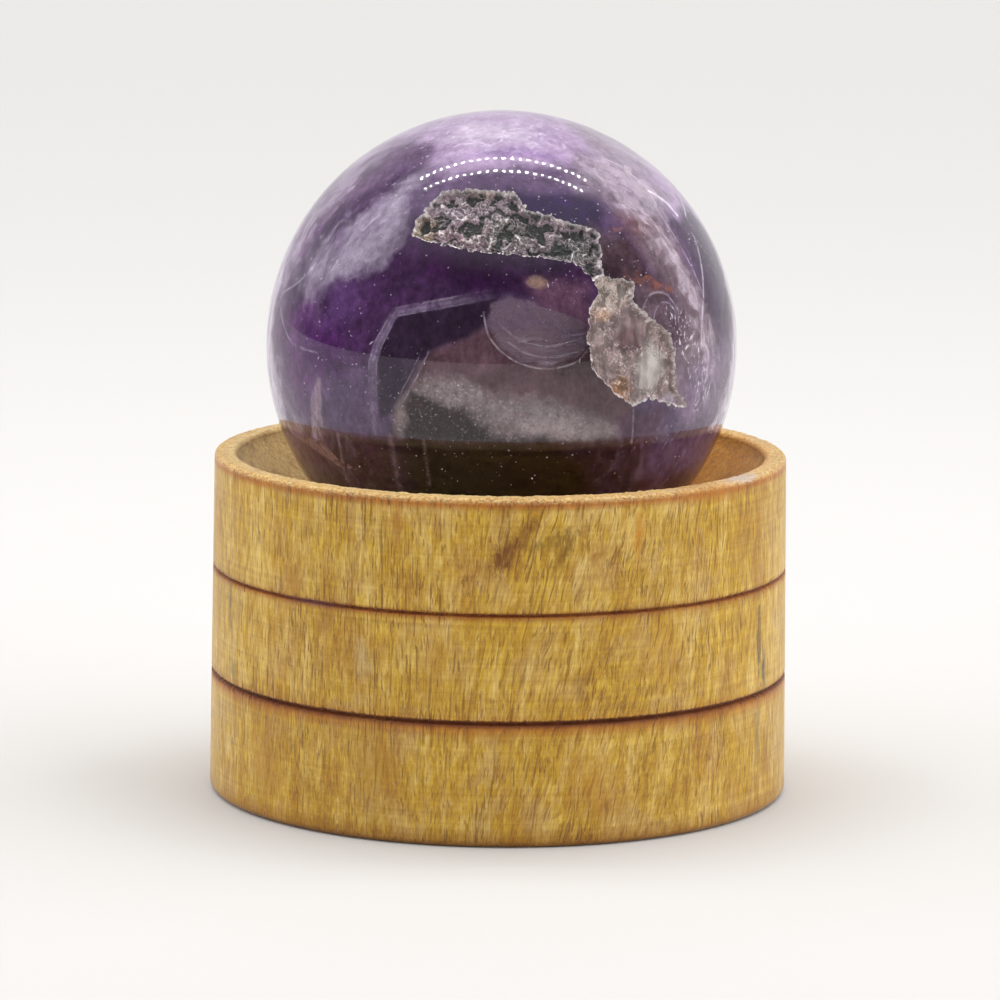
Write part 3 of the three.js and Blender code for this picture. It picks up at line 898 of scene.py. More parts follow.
# Patches of colour on the heart, painted one over another. An outline is in degrees on the ball,
# or in degrees about a middle of its own where it crosses the top. soft is the width of its edge.
heartBase = "#5b4566"
heartPatches = [
    dict(colour="#5d3566", soft=7, torn=5,           # haze down the left side
         outline=[[-130, -20], [-66, -20], [-60, -8], [-62, 10], [-64, 25], [-75, 45], [-130, 50]]),
    dict(colour="#84748a", soft=4, torn=5, outline=[[-80, 18], [-66, 20], [-62, 30], [-72, 34], [-82, 28]]),
    dict(colour="#664d6d", soft=4, torn=3,           # lilac haze, upper left
         outline=[[-150, 30], [-91, 34], [-76, 41], [-64, 57], [-50, 62], [-68, 70], [-100, 82], [-150, 75]]),
    dict(colour="#4b3454", soft=3, torn=3,           # violet band across it
         outline=[[-50, 62], [-64, 57], [-76, 41], [-84, 23], [-80, 12], [-69, 16], [-64, 35], [-52, 52]]),
    dict(colour="#857a8b", soft=5, torn=8,         # milky band
         outline=[[-38, 53], [-34, 43], [-34, 34], [-41, 25], [-49, 20], [-59, 20], [-70, 17], [-78, 24],
                  [-62, 33], [-54, 45], [-46, 56]]),
    dict(colour="#a793ae", soft=3, torn=3, about=(0, 72),    # bright cap
         outline=[[-23, 17], [-19, 10], [-20, 3], [-21, -1], [-17, -5], [-13, -9], [-1, -8], [8, -4],
                  [26, 0], [60, 5], [70, 30], [40, 60], [0, 62], [-40, 55], [-30, 30]]),
    dict(colour="#bfb4c3", soft=5, torn=3, about=(0, 72), outline=[[-16, 10], [-2, 5], [6, 8], [6, 16], [-10, 20]]),
    dict(colour="#8b6f95", soft=6, torn=3, about=(0, 72), outline=[[-40, 40], [40, 40], [60, 80], [-60, 80]]),
    dict(colour="#8f74a2", soft=3, torn=2, about=(0, 72), outline=[[-10, -1], [4, 3], [12, 3], [14, 0], [0, -2]]),
    dict(colour="#918491", soft=4, torn=5, outline=[[75, 54], [110, 50], [135, 58], [125, 70], [95, 70], [70, 66]]),
    dict(colour="#6b5270", soft=2, torn=3, outline=[[-94, 40], [-80, 50], [-64, 58], [-62, 53], [-76, 43],
            [-90, 34]]),
    dict(colour="#26063f", soft=2.5, torn=2.5,           # violet over the vug
         outline=[[2, 57], [16, 56], [30, 54], [42, 48], [40, 40], [31, 38], [15, 40], [4, 48]]),
    dict(colour="#806d7e", soft=3, torn=4,           # pinkish milk beyond it
         outline=[[46, 62], [60, 64], [72, 54], [66, 40], [54, 37], [48, 44], [42, 52]]),
    dict(colour="#8b808b", soft=5, torn=6,           # wisps, upper right
         outline=[[44, 60], [60, 66], [82, 58], [90, 45], [74, 38], [60, 36], [50, 44], [42, 52]]),
    dict(colour="#785b61", soft=4, torn=4, outline=[[48, 42], [58, 46], [66, 40], [64, 33], [52, 34]]),
    dict(colour="#75656b", soft=4, torn=5,           # haze down the right side
         outline=[[52, 36], [70, 40], [74, 20], [78, 5], [90, -18], [50, -10], [52, 0], [58, 14]]),
    dict(colour="#47364c", soft=3, torn=3, outline=[[74, 36], [100, 40], [110, 0], [84, 4], [72, 14], [76, 26]]),
    dict(colour="#78667c", soft=4, torn=3, outline=[[58, -2], [72, 2], [100, 4], [100, -17], [62, -17]]),
    dict(colour="#4a383e", soft=3, torn=3,           # smoky brown by the neck
         outline=[[32, 40], [48, 38], [52, 30], [50, 23], [38, 22], [30, 28]]),
    dict(colour="#452a4e", soft=1.4, torn=1.4,       # deep clear violet
         outline=[[-36, 46], [-36, 36], [-41, 27], [-49, 22], [-57, 22], [-60, 15], [-58, 6], [-50, -1],
                  [-39, 0], [-38, 6], [-33, 16], [-1, 23], [13, 21], [26, 15], [29, 22], [30, 34], [0, 44]]),
    dict(colour="#380f40", soft=5, torn=3, outline=[[-28, 36], [-5, 36], [8, 28], [-6, 24], [-24, 27]]),
    dict(colour="#583a68", soft=4, torn=3, outline=[[-57, 20], [-46, 20], [-46, 8], [-55, 9]]),   # vivid corner
    dict(colour="#4b2c55", soft=3, torn=3, outline=[[-52, 9], [-42, 9], [-41, 1], [-50, 1]]),
    dict(colour="#835d76", soft=3, torn=3, outline=[[10, 27], [27, 26], [27, 13], [12, 17]]),     # maroon corner
    dict(colour="#35243a", soft=0.8, torn=0.5,       # dark between two growth faces
         outline=[[-1, 22], [-31, 15], [-35, 7], [-36, 2], [-36, -14], [-31, -12], [-27, -5], [-24, 2],
                  [-21, 6], [-10, 10], [-6, 13], [-4, 16]]),
    dict(colour="#2b1135", soft=1.5, torn=0.8, outline=[[-35, 3], [-30, 4], [-28, -4], [-32, -12], [-36, -14]]),
    dict(colour="#664c53", soft=1.2, torn=0.8,       # pinkish dome of the inner growth face
         outline=[[-21, 6], [-10, 10], [-6, 13], [10, 12], [30, 6], [45, -20], [-34, -20], [-31, -12],
                  [-27, -5], [-24, 2]]),
    dict(colour="#8a7f7d", soft=2.5, torn=3, sparkle=1.0,         # grey cloud in it
         outline=[[-29, -12], [-23, -2], [-12, -2], [-4, -7], [10, -8], [24, -10], [40, -17], [42, -20], [-32, -20]]),
    dict(colour="#b3a9a6", soft=2.5, torn=2.5, sparkle=1.0, outline=[[4, -14], [20, -12], [30, -17], [12, -19]]),
    dict(colour="#2a191d", soft=1.6, torn=2.5, sparkle=0.45,
        outline=[[-27, -7], [-19, -9.5], [-11, -11], [-3, -15], [-1, -20], [-28, -20]]),
    dict(colour="#583852", soft=2.5, torn=2, outline=[[36, -12], [52, -12], [54, -22], [36, -21]]),
    # the dark bottom: partly the stone's smoky colour, partly painted shade of the dish it sits in
    dict(colour="#3d2430", below=-20, soft=1.2, torn=1.0),                 # smoky bottom
    dict(colour="#6a4a50", soft=3, torn=3, outline=[[-100, -19], [-60, -19], [-64, -28], [-100, -34]]),
    dict(colour="#5a4560", soft=3, torn=2, outline=[[50, -19], [90, -19], [90, -32], [50, -32]]),
    dict(colour="#4a2257", soft=4, torn=3, outline=[[-68, 10], [-50, 10], [-50, -4], [-66, -4]]),
    dict(colour="#64535a", soft=3, torn=3, outline=[[40, 24], [56, 24], [58, 6], [48, 4], [42, 12]]),
    # the far side, guessed from the near one
    dict(colour="#462a50", soft=5, torn=5, about=(172, 12),
        outline=[[-46, 24], [-10, 34], [26, 30], [44, 6], [30, -22], [-12, -26], [-48, -8]]),
    dict(colour="#8f7d95", soft=5, torn=6, about=(150, 34),
        outline=[[-30, 16], [8, 22], [26, 4], [4, -10], [-24, -4]]),
    dict(colour="#9b8ea0", soft=4, torn=5, about=(-150, 4),
        outline=[[-22, 26], [2, 22], [12, -4], [4, -24], [-14, -20]]),
    dict(colour="#6d5358", soft=3, torn=4, about=(176, -12),
        outline=[[-34, 4], [0, 12], [32, 2], [30, -14], [-32, -14]]),
    dict(colour="#30103c", soft=4, torn=4, about=(-165, 22), outline=[[-12, 14], [14, 10], [12, -12], [-10, -8]]),
    # painted shade: the bottom darkest where the ball sits down in the dish
    dict(colour="#2c1c2a", soft=5, torn=4, outline=[[-34, -21], [28, -21], [46, -27], [56, -60], [-50, -60]]),
    dict(colour="#0a060a", soft=5, torn=4, outline=[[-27, -21.5], [14, -21.5], [28, -28], [36, -60], [-38, -60]]),
]


def localPlace(ways, about):
    # degrees to the right and up from a middle, kept true to distance from it
    middle = np.array(wayTo(*about))
    right = np.cross([0, 0, 1], middle)
    right /= np.linalg.norm(right)
    up = np.cross(middle, right)
    x, y, ahead = ways @ right, ways @ up, ways @ middle
    aside = np.hypot(x, y)
    stretch = np.degrees(np.arctan2(aside, ahead)) / np.maximum(aside, 1e-9)
    return x * stretch, y * stretch


def patchShare(ways, patch, sway):
    # how much of a patch's colour each point takes
    drift = patch["torn"] * sway
    azimuth, elevation = anglesOf(ways)
    if "below" in patch:
        inside = patch["below"] - elevation + drift[:, 0]
    elif "spot" in patch:
        across, up, wide, tall = patch["spot"]
        x, y = localPlace(ways, (across, up))
        inside = (1 - np.hypot((x + drift[:, 0]) / wide, (y + drift[:, 1]) / tall)) * min(wide, tall)
    elif "about" in patch:
        x, y = localPlace(ways, patch["about"])
        inside = depthInside(x + drift[:, 0], y + drift[:, 1], patch["outline"])
    else:
        squeeze = np.cos(np.radians(elevation))
        x = azimuth + drift[:, 0] / np.maximum(squeeze, 0.2)
        inside = depthInside(x, elevation + drift[:, 1], patch["outline"], squeeze)
    return smoothStep(-patch["soft"], patch["soft"], inside)[:, None]


def paintPatches(ways, patches, colour, sway):
    for patch in patches:
        share = patchShare(ways, patch, sway)
        colour = colour * (1 - share) + np.array(hexColour(patch["colour"])) * share
    return colour


def swayOf(ways, scale):
    # a slow two-way wander that frays the patches' edges
    offset = Vector((5, 2, 8))
    return np.array([(noise.fractal(Vector(w) * scale, 0.8, 2.1, 6),
                noise.fractal(Vector(w) * scale + offset, 0.8, 2.1, 6)) for w in ways])


def makeHeart(cloudy):
    radius = ballRadius * ball["heartShare"]
    work = newIcosphere(ball["heartFacets"], radius)
    ways = meshWays(work)
    refineWhere(work, ways @ np.array(wayTo(0, 10)) > math.cos(math.radians(ball["heartFineAngle"])), radius)
    ways = meshWays(work)
    sway = swayOf(ways, 3.5)
    colour = np.tile(np.array(hexColour(heartBase)), (len(ways), 1))
    colour = paintPatches(ways, heartPatches, colour, sway)
    sparkle = np.zeros(len(ways))
    for patch in heartPatches:
        share = patchShare(ways, patch, sway)[:, 0]
        sparkle = sparkle * (1 - share) + patch.get("sparkle", 0) * share
    for vert, lump in zip(work.verts, sway[:, 0]):
        vert.co *= 1 + ball["heartLump"] * lump
    heart = finishBall(work, "cloudy_heart", [cloudy])
    heart.data.color_attributes.new("tint", "FLOAT_COLOR", "POINT").data.foreach_set("color", colour.ravel())
    heart.data.attributes.new("sparkle", "FLOAT", "POINT").data.foreach_set("value", sparkle)
    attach(heart, "root")
    return heart


def heartMaterial():
    # amethyst clouded by healed cracks and fluid films: dull, since its gloss is the skin's
    material, tree = newMaterial("cloudy amethyst")
    place = placeInMm(tree)
    tint = addNode(tree, "Attribute", settings={"attribute_name": "tint"}).outputs["Color"]
    sparkle = addNode(tree, "Attribute", settings={"attribute_name": "sparkle"}).outputs["Fac"]
    sized = addNode(tree, "Mapping", {"Vector": place, "Scale": [1 / s for s in (2.4, 2.4, 3.2)]})
    wisps = addNode(tree, "TexNoise", {"Vector": sized}, Scale=1.0, Detail=6.0, Roughness=0.65, Distortion=0.5)
    shaded = shadeBy(tree, tint, wisps, (0.3, "#969696"), (0.5, "#bcbcbc"), (0.7, "#dcdcdc"))
    murk = grainNoise(tree, place, (0.7, 0.7, 0.9), 4.0, 0.7)
    shaded = shadeBy(tree, shaded, murk, (0.3, "#969696"), (0.5, "#bcbcbc"), (0.7, "#dedede"))
    grains = grainNoise(tree, place, (0.28, 0.28, 0.28), 2.0, 0.6)
    bright = addNode(tree, "Math", [addNode(tree, "MapRange", [grains, 0.56, 0.70], smooth), sparkle], multiply)
    share = addNode(tree, "Math", [bright, 0.38], multiply)
    shaded = addNode(tree, "Mix", {0: share, 6: shaded, 7: "#e4dfdc"}, mixed).outputs[2]
    dark = addNode(tree, "Math", [addNode(tree, "MapRange", [grains, 0.44, 0.30], smooth), sparkle], multiply)
    share = addNode(tree, "Math", [dark, 0.45], multiply)
    shaded = addNode(tree, "Mix", {0: share, 6: shaded, 7: "#3a3234"}, mixed).outputs[2]
    shader = addNode(tree, "BsdfPrincipled", {"Base Color": shaded}, Roughness=1.0, Specular_IOR_Level=0.0)
    addNode(tree, "OutputMaterial", {"Surface": shader})
    return material


# films, growth lines and specks sealed in the ball
# Thin curved sheets at their own depths: share is how far out a sheet lies, grain the size in mm
# of its streaks along X, Y and Z before turn leans them, opacity how solid they range.

films = dict(
    lens_veil=dict(share=0.88, soft=1.6, jag=0.7, colour="#76666e", grain=(3.2, 3.2, 1.3), turn=5,
        opacity=(0.42, 0.85), outline=[[-4, 19], [1, 21.5], [7, 20.5], [12, 18], [18, 16.5], [23, 14], [24, 8],
            [20, 4], [12, 2], [4, 3.5], [-1, 8], [-4, 13]]),
    lens_ripples=dict(share=0.885, soft=1.6, jag=0.8, colour="#a99da6", grain=(3.4, 3.4, 0.45), turn=4,
        span=(0.50, 0.66), opacity=(0.0, 0.42), outline=[[3, 12], [12, 11], [23, 12], [23, 7], [19, 3.6], [12, 2.4],
            [5, 4]]),
    milky_veil=dict(share=0.92, soft=10, jag=5.5, colour="#bdb5c2", grain=(2.4, 2.4, 5.5), turn=-40,
        span=(0.36, 0.66), swirl=0.8, opacity=(0.0, 0.52),
        outline=[[-32, 57], [-30, 48], [-30, 40], [-31, 34], [-37, 25], [-47, 17], [-62, 13], [-76, 18], [-66, 34],
            [-54, 44], [-44, 56]]),
    milky_wisps=dict(share=0.93, soft=5, jag=4.5, colour="#e0d7e6", grain=(0.8, 0.8, 3.0), turn=-42,
        span=(0.56, 0.72), swirl=1.2, opacity=(0.0, 0.40),
        outline=[[-34, 54], [-32, 40], [-38, 28], [-50, 18], [-66, 14], [-70, 24], [-58, 38], [-46, 52]]),
    left_haze=dict(share=0.94, soft=9, jag=6, colour="#c4b8c6", grain=(2.6, 2.6, 5.5), turn=-38, span=(0.34, 0.64),
        swirl=0.8, opacity=(0.0, 0.44), outline=[[-112, 62], [-106, 30], [-96, 6], [-74, 4], [-68, 22], [-64, 44],
            [-58, 66], [-80, 74]]),
    left_wisps=dict(share=0.955, soft=5, jag=4, colour="#dcd2de", grain=(0.9, 0.9, 3.4), turn=-34,
        span=(0.56, 0.72), swirl=1.2, opacity=(0.0, 0.40),
        outline=[[-104, 52], [-100, 24], [-84, 12], [-72, 26], [-62, 50], [-78, 66]]),
    left_edge=dict(share=0.965, soft=5, jag=3.2, colour="#d6ccda", grain=(1.5, 1.5, 5), turn=-8, span=(0.32, 0.60),
        swirl=0.9, opacity=(0.05, 0.72), outline=[[-98, 30], [-86, 36], [-79, 26], [-75, 12], [-73, 0], [-69, -10],
            [-66, -18], [-82, -22], [-93, -12], [-96, 2], [-91, 12], [-97, 20]]),
    left_low_haze=dict(share=0.95, soft=11, jag=5, colour="#a797ac", grain=(2.2, 2.2, 5), turn=-14,
        span=(0.34, 0.64), swirl=0.8, opacity=(0.0, 0.56),
        outline=[[-92, 6], [-70, 4], [-60, -6], [-54, -18], [-74, -24], [-96, -14]]),
    right_edge=dict(share=0.965, soft=5, jag=3.2, colour="#d4cad6", grain=(1.5, 1.5, 5), turn=10, span=(0.32, 0.60),
        swirl=0.9, opacity=(0.05, 0.72), outline=[[98, 24], [88, 34], [82, 24], [77, 6], [73, -4], [69, -12],
            [66, -18], [80, -22], [92, -14], [97, 0], [91, 10]]),
    wispy_veil=dict(share=0.90, soft=6, jag=4.5, colour="#c0b5ba", grain=(2.2, 2.2, 4.5), turn=42,
        span=(0.34, 0.62), swirl=0.8, opacity=(0.0, 0.46),
        outline=[[38, 58], [60, 64], [74, 50], [64, 34], [62, 16], [62, -4], [54, 2], [54, 22], [47, 34],
            [42, 44]]),
    wispy_strokes=dict(share=0.915, soft=4, jag=4, colour="#e2dbe2", grain=(0.8, 0.8, 2.6), turn=46,
        span=(0.56, 0.72), swirl=1.2, opacity=(0.0, 0.62),
        outline=[[36, 60], [60, 62], [70, 46], [62, 26], [60, 8], [54, 24], [44, 40]]),
    top_wisps=dict(share=0.94, soft=5, jag=5, colour="#e9e2ee", grain=(1.6, 1.6, 1.6), turn=0, span=(0.50, 0.70),
        swirl=1.4, opacity=(0.0, 0.36), outline=[[-60, 62], [-20, 60], [20, 62], [60, 66], [64, 80], [-60, 80]]),
    rim_haze=dict(share=0.95, soft=7, jag=5, colour="#b9adbb", grain=(2.2, 2.2, 5), turn=35, opacity=(0.0, 0.20),
        swirl=0.8, outline=[[66, 74], [100, 64], [112, 44], [98, 36], [86, 40], [78, 52], [60, 64]]),
    back_veil_1=dict(share=0.93, soft=8, jag=6, colour="#c9bfd0", grain=(2.4, 2.4, 6), turn=36, span=(0.38, 0.66),
        swirl=0.8, opacity=(0.0, 0.62), outline=[[118, 56], [160, 52], [176, 30], [150, 4], [128, 10], [112, 34]]),
    back_veil_2=dict(share=0.93, soft=6, jag=5, colour="#beb2c2", grain=(1.8, 1.8, 6), turn=-24, span=(0.42, 0.66),
        swirl=0.8, opacity=(0.0, 0.62), outline=[[196, 34], [226, 40], [238, 6], [222, -20], [204, -12]]),
    back_wisps=dict(share=0.945, soft=5, jag=4, colour="#e2dae6", grain=(0.9, 0.9, 3.2), turn=30, span=(0.56, 0.72),
        swirl=1.2, opacity=(0.0, 0.6), outline=[[126, 50], [158, 46], [168, 26], [148, 8], [132, 16]]),
    back_rust=dict(share=0.90, soft=2.6, jag=2.4, colour="#85583f", grain=(1.2, 1.2, 0.7), turn=-10,
        span=(0.42, 0.64), opacity=(0.0, 0.75), outline=[[176, 22], [190, 25], [203, 20], [200, 15], [186, 17],
            [176, 16]]),
    right_milk=dict(share=0.925, soft=4, jag=3.5, colour="#cfc4cc", grain=(1.4, 1.4, 4.0), turn=16,
        span=(0.40, 0.64), swirl=0.8, opacity=(0.0, 0.60),
        outline=[[50, 34], [57, 34], [63, 20], [69, 6], [68, -16], [60, -14], [58, 2], [55, 16]]),
    fleck_veil=dict(share=0.92, soft=2.5, jag=2.0, colour="#e0dae0", grain=(0.34, 0.34, 0.7), turn=-15,
        span=(0.54, 0.64), opacity=(0.0, 0.80), outline=[[47, 18], [55, 15], [63, 4], [67, -10], [58, -13], [51, 0],
            [46, 10]]),
    cloud_veil=dict(share=0.82, soft=4, jag=3, colour="#a79d9b", grain=(1.6, 1.6, 1.0), turn=-12, opacity=(0.0, 0.40),
                    outline=[[-8, -2], [6, -4], [22, -7], [36, -14], [34, -19], [2, -17]]),
    rust_film_1=dict(share=0.88, soft=2.6, jag=2.2, colour="#8d6250", grain=(1.2, 1.2, 0.7), turn=8,
        span=(0.42, 0.66), opacity=(0.0, 0.55), outline=[[29, 38], [36, 39.5], [44, 39.5], [51, 38], [51, 35.5],
            [44, 35], [36, 35.5], [30, 36.2]]),
    rust_film_2=dict(share=0.88, soft=1.8, jag=1.6, colour="#85543c", grain=(1.1, 1.1, 0.6), turn=14,
        span=(0.42, 0.64), opacity=(0.0, 0.7), outline=[[37, 26], [44, 26], [54, 21.5], [53, 18.5], [44, 19.5],
            [38, 23]]),
    tan_speck=dict(share=0.88, soft=2.4, jag=0.6, colour="#c0a188", grain=(0.45, 0.45, 0.45), turn=0,
        opacity=(0.6, 1.0), outline=[[5.8, 24.8], [6.6, 26.4], [8.6, 27.2], [11.2, 27], [13.2, 25.6], [13.6, 23.8],
            [12.4, 22.4], [10.2, 21.8], [7.6, 22.2], [6.2, 23.4]]),
    low_streaks=dict(share=0.90, soft=3, jag=3, colour="#8c7079", grain=(1.4, 1.4, 3.5), turn=-8,
        opacity=(0.0, 0.36), span=(0.44, 0.70), outline=[[-84, -14], [-42, -16], [-36, -36], [-84, -36]]),
    low_streaks_2=dict(share=0.90, soft=3, jag=3, colour="#7d6478", grain=(1.4, 1.4, 3.5), turn=10,
        opacity=(0.0, 0.4), span=(0.46, 0.70), outline=[[24, -14], [80, -16], [84, -36], [30, -36]]),
    low_scratches=dict(share=0.94, soft=1.2, jag=1.5, colour="#d8cdd2", grain=(0.35, 0.35, 1.4), turn=18,
        span=(0.58, 0.70), opacity=(0.0, 0.7), outline=[[44, -9], [56, -9], [52, -21], [42, -21]]),
    vug_shore=dict(share=0.93, soft=3, jag=2.5, colour="#c2b2c4", grain=(1.4, 1.4, 2.0), turn=50, span=(0.42, 0.66),
        swirl=1.0, opacity=(0.0, 0.34), outline=[[34, 62], [50, 64], [62, 50], [54, 37], [46, 35], [42, 44],
            [36, 54]]),
    feather=dict(share=0.92, soft=1.4, jag=0.9, colour="#a8929a", grain=(0.9, 0.9, 1.6), turn=0, opacity=(0.1, 0.85),
                 outline=[[-53, -1], [-50.5, -3], [-51, -9], [-53.5, -20], [-60.5, -20], [-56.5, -9]]),
    feather_foot=dict(share=0.90, soft=0.8, jag=0.8, colour="#97705f", grain=(2, 2, 0.7), turn=30,
        opacity=(0.0, 0.8), outline=[[-75, -17.5], [-67, -18.5], [-54, -22], [-46, -27], [-50, -28.5], [-60, -24],
            [-74, -21]]),
)


def makeFilm(name, film):
    outline = film["outline"]
    pad, step = film["jag"], 0.4       # degrees
    azimuths = np.arange(min(p[0] for p in outline) - pad, max(p[0] for p in outline) + pad, step)
    elevations = np.arange(min(p[1] for p in outline) - pad, max(p[1] for p in outline) + pad, step)
    azimuth, elevation = [grid.ravel() for grid in np.meshgrid(azimuths, elevations)]
    ways = [wayTo(a, e) for a, e in zip(azimuth, elevation)]
    inside = depthInside(azimuth, elevation, outline, np.cos(np.radians(elevation)))
    inside += film["jag"] * np.array([noise.fractal(w * 16, 0.9, 2.1, 4) for w in ways])
    lumps = [1 + 0.006 * noise.noise(w * 9) for w in ways]
    vertices = [ballCentre + w * (ballRadius * film["share"] * lump) for w, lump in zip(ways, lumps)]
    across = len(azimuths)
    faces = []
    for i in range(len(vertices) - across):
        corners = (i, i + 1, i + across + 1, i + across)
        if (i + 1) % across and all(inside[c] > 0 for c in corners):
            faces.append(corners)
    used = sorted({c for face in faces for c in face})
    place = {old: new for new, old in enumerate(used)}
    material = filmMaterial(name.replace("_", " "), film)
    piece = meshObject(name, [vertices[i] for i in used], [[place[c] for c in face] for face in faces], [material])
    fade = smoothStep(0, film["soft"], inside)
    piece.data.attributes.new("fade", "FLOAT", "POINT").data.foreach_set("value", [fade[i] for i in used])
    smoothFaces(piece.data)
    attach(piece, "root")


def filmMaterial(name, film):
    # a healed crack: a dull film of tiny bubbles and iron stain, see-through between its streaks
    material, tree = newMaterial(name)
    place = addNode(tree, "TexCoord").outputs["Object"]
    turned = addNode(tree, "Mapping", {"Vector": place}, Rotation=(0, math.radians(film["turn"]), 0))
    sized = addNode(tree, "Mapping", {"Vector": turned}, Scale=[1000 / g for g in film["grain"]])
    streaks = addNode(tree, "TexNoise", {"Vector": sized}, Scale=1.0, Detail=5.0, Roughness=0.62,
                      Distortion=film.get("swirl", 0.3))
    fade = addNode(tree, "Attribute", settings={"attribute_name": "fade"}).outputs["Fac"]
    low, high = film["opacity"]
    start, end = film.get("span", (0.36, 0.66))
    solid = addNode(tree, "MapRange", {"Value": streaks}, From_Min=start, From_Max=end, To_Min=low, To_Max=high)
    alpha = addNode(tree, "Math", [solid, fade], multiply)
    shader = addNode(tree, "BsdfPrincipled", {"Alpha": alpha}, Base_Color=hexColour(film["colour"]), Roughness=1.0,
                     Specular_IOR_Level=0.0)
    addNode(tree, "OutputMaterial", {"Surface": shader})
    return material


# Narrow bands and lines: share as for a film, path in degrees, width in degrees, and lines says how
# solid the band is across its width.
oneLine = [(0.0, 0.0), (0.3, 0.5), (0.5, 1.0), (0.7, 0.5), (1.0, 0.0)]
ribbons = dict(
    # the edge of an earlier growth stage, a bent band with brighter lines along it
    phantom_line=dict(share=0.86, colour="#a498aa", width=2.8, opacity=0.68,
        path=[[-1, 22], [-15, 19], [-30, 15.5], [-34, 7], [-35.5, 2], [-36, -13]],
        lines=[(0, 0), (0.06, 0.85), (0.14, 0.40), (0.40, 0.45), (0.52, 0.62), (0.62, 0.30), (0.86, 0.55),
            (0.94, 0.65), (1, 0)], sharp=True),
    right_line=dict(share=0.95, colour="#d6cdd6", width=1.3, opacity=0.55,
        path=[[72, 32], [70, 28], [64, 18], [60, 11], [58, 4]]),
    right_band=dict(share=0.965, colour="#4c3c52", width=5, opacity=0.85,
        path=[[82, 34], [77, 22], [70, 8], [64, 2]]),
    upper_arc=dict(share=0.95, colour="#e6dee8", width=0.9, opacity=0.6,
        path=[[80, 55], [85, 50], [89, 44], [80, 39], [74, 36]]),
    bright_crack=dict(share=0.95, colour="#f4eef4", width=1.7, opacity=0.85,
        path=[[62, 46], [65, 44], [68, 41], [69, 37]]),
    low_line=dict(share=0.93, colour="#a99aa8", width=0.9, opacity=0.7,
        path=[[34.5, -5], [35, -8], [36, -16], [36, -18]]),
    low_stripe_1=dict(share=0.90, colour="#8f747c", width=2.2, opacity=0.5,
        path=[[-48.2, -17], [-49.2, -24], [-51.5, -32]]),
    low_stripe_2=dict(share=0.90, colour="#8a6f78", width=2.6, opacity=0.5,
        path=[[-30.4, -15.5], [-30.3, -22], [-31.2, -33]]),
    low_stripe_3=dict(share=0.90, colour="#806a68", width=1.6, opacity=0.5,
        path=[[-20.7, -16.5], [-20.6, -23], [-21, -31]]),
    phantom_foot=dict(share=0.861, colour="#8d808f", width=2.6, opacity=0.5,
        path=[[-36, -8], [-36, -13], [-36.4, -18]]),
    arc_1=dict(share=0.90, colour="#a79ca6", width=1.0, opacity=0.6,
        path=[[39, 14], [41, 17.5], [44.5, 19.6], [49.5, 18.6], [53, 13.5]]),
    arc_2=dict(share=0.90, colour="#968b96", width=0.8, opacity=0.6,
        path=[[42.5, 12], [44, 15], [47, 17], [50.5, 15.6], [52, 11]]),
    fall_line_1=dict(share=0.95, colour="#d6ccd6", width=0.6, opacity=0.45,
        path=[[59, 42], [59.3, 36], [61.4, 25.5], [63.6, 15]]),
    fall_line_2=dict(share=0.95, colour="#cfc4cf", width=0.6, opacity=0.4,
        path=[[50, 44], [53, 38], [54, 30], [57, 22]]),
    fall_line_3=dict(share=0.95, colour="#e0d8df", width=0.7, opacity=0.6,
        path=[[52, 60], [60, 54], [62, 46], [60, 41]]),
    slant_line_1=dict(share=0.86, colour="#9b8f98", width=0.9, opacity=0.7, path=[[-19, 7], [-22, 0], [-26, -7]]),
    slant_line_2=dict(share=0.86, colour="#857a85", width=0.7, opacity=0.6, path=[[-21, 7], [-24, 0], [-28, -7]]),
    lens_rim=dict(share=0.881, colour="#b9adb2", width=0.8, opacity=0.7, path=[
        [-5, 17], [-3, 10], [3, 4.5], [11, 2.2], [19, 3.5], [23, 7]]),
    lens_line_1=dict(share=0.882, colour="#aba0a6", width=0.7, opacity=0.5,
        path=[[-1, 14], [5, 9.5], [13, 8], [22, 10]]),
    lens_line_2=dict(share=0.882, colour="#a79ca2", width=0.7, opacity=0.65,
        path=[[1, 9.5], [7, 6], [14, 5], [22, 7]]),
    back_line=dict(share=0.90, colour="#a79cad", width=1.6, opacity=0.6,
        path=[[136, -14], [146, 4], [160, 16], [186, 20], [206, 8]]),
    back_crack=dict(share=0.95, colour="#e6dee8", width=0.9, opacity=0.5,
        path=[[214, 44], [220, 30], [232, 18], [236, -2]]),
    veil_edge=dict(share=0.97, colour="#b9acc0", width=1.0, opacity=0.4,
        path=[[-58, 24], [-66, 18], [-74, 14], [-70, 9], [-62, 4], [-50, 3]]),
)


def smoothPath(path, steps=6):
    # points eased through the path's corners
    ends = [Vector(p) for p in ([path[0]] + path + [path[-1]])]
    points = []
    for before, start, end, after in zip(ends, ends[1:], ends[2:], ends[3:]):
        for i in range(steps):
            t = i / steps
            points.append(0.5 * (2 * start + (end - before) * t + (2 * before - 5 * start + 4 * end - after) * t * t
                                 + (3 * start - before - 3 * end + after) * t ** 3))
    return points + [ends[-1]]


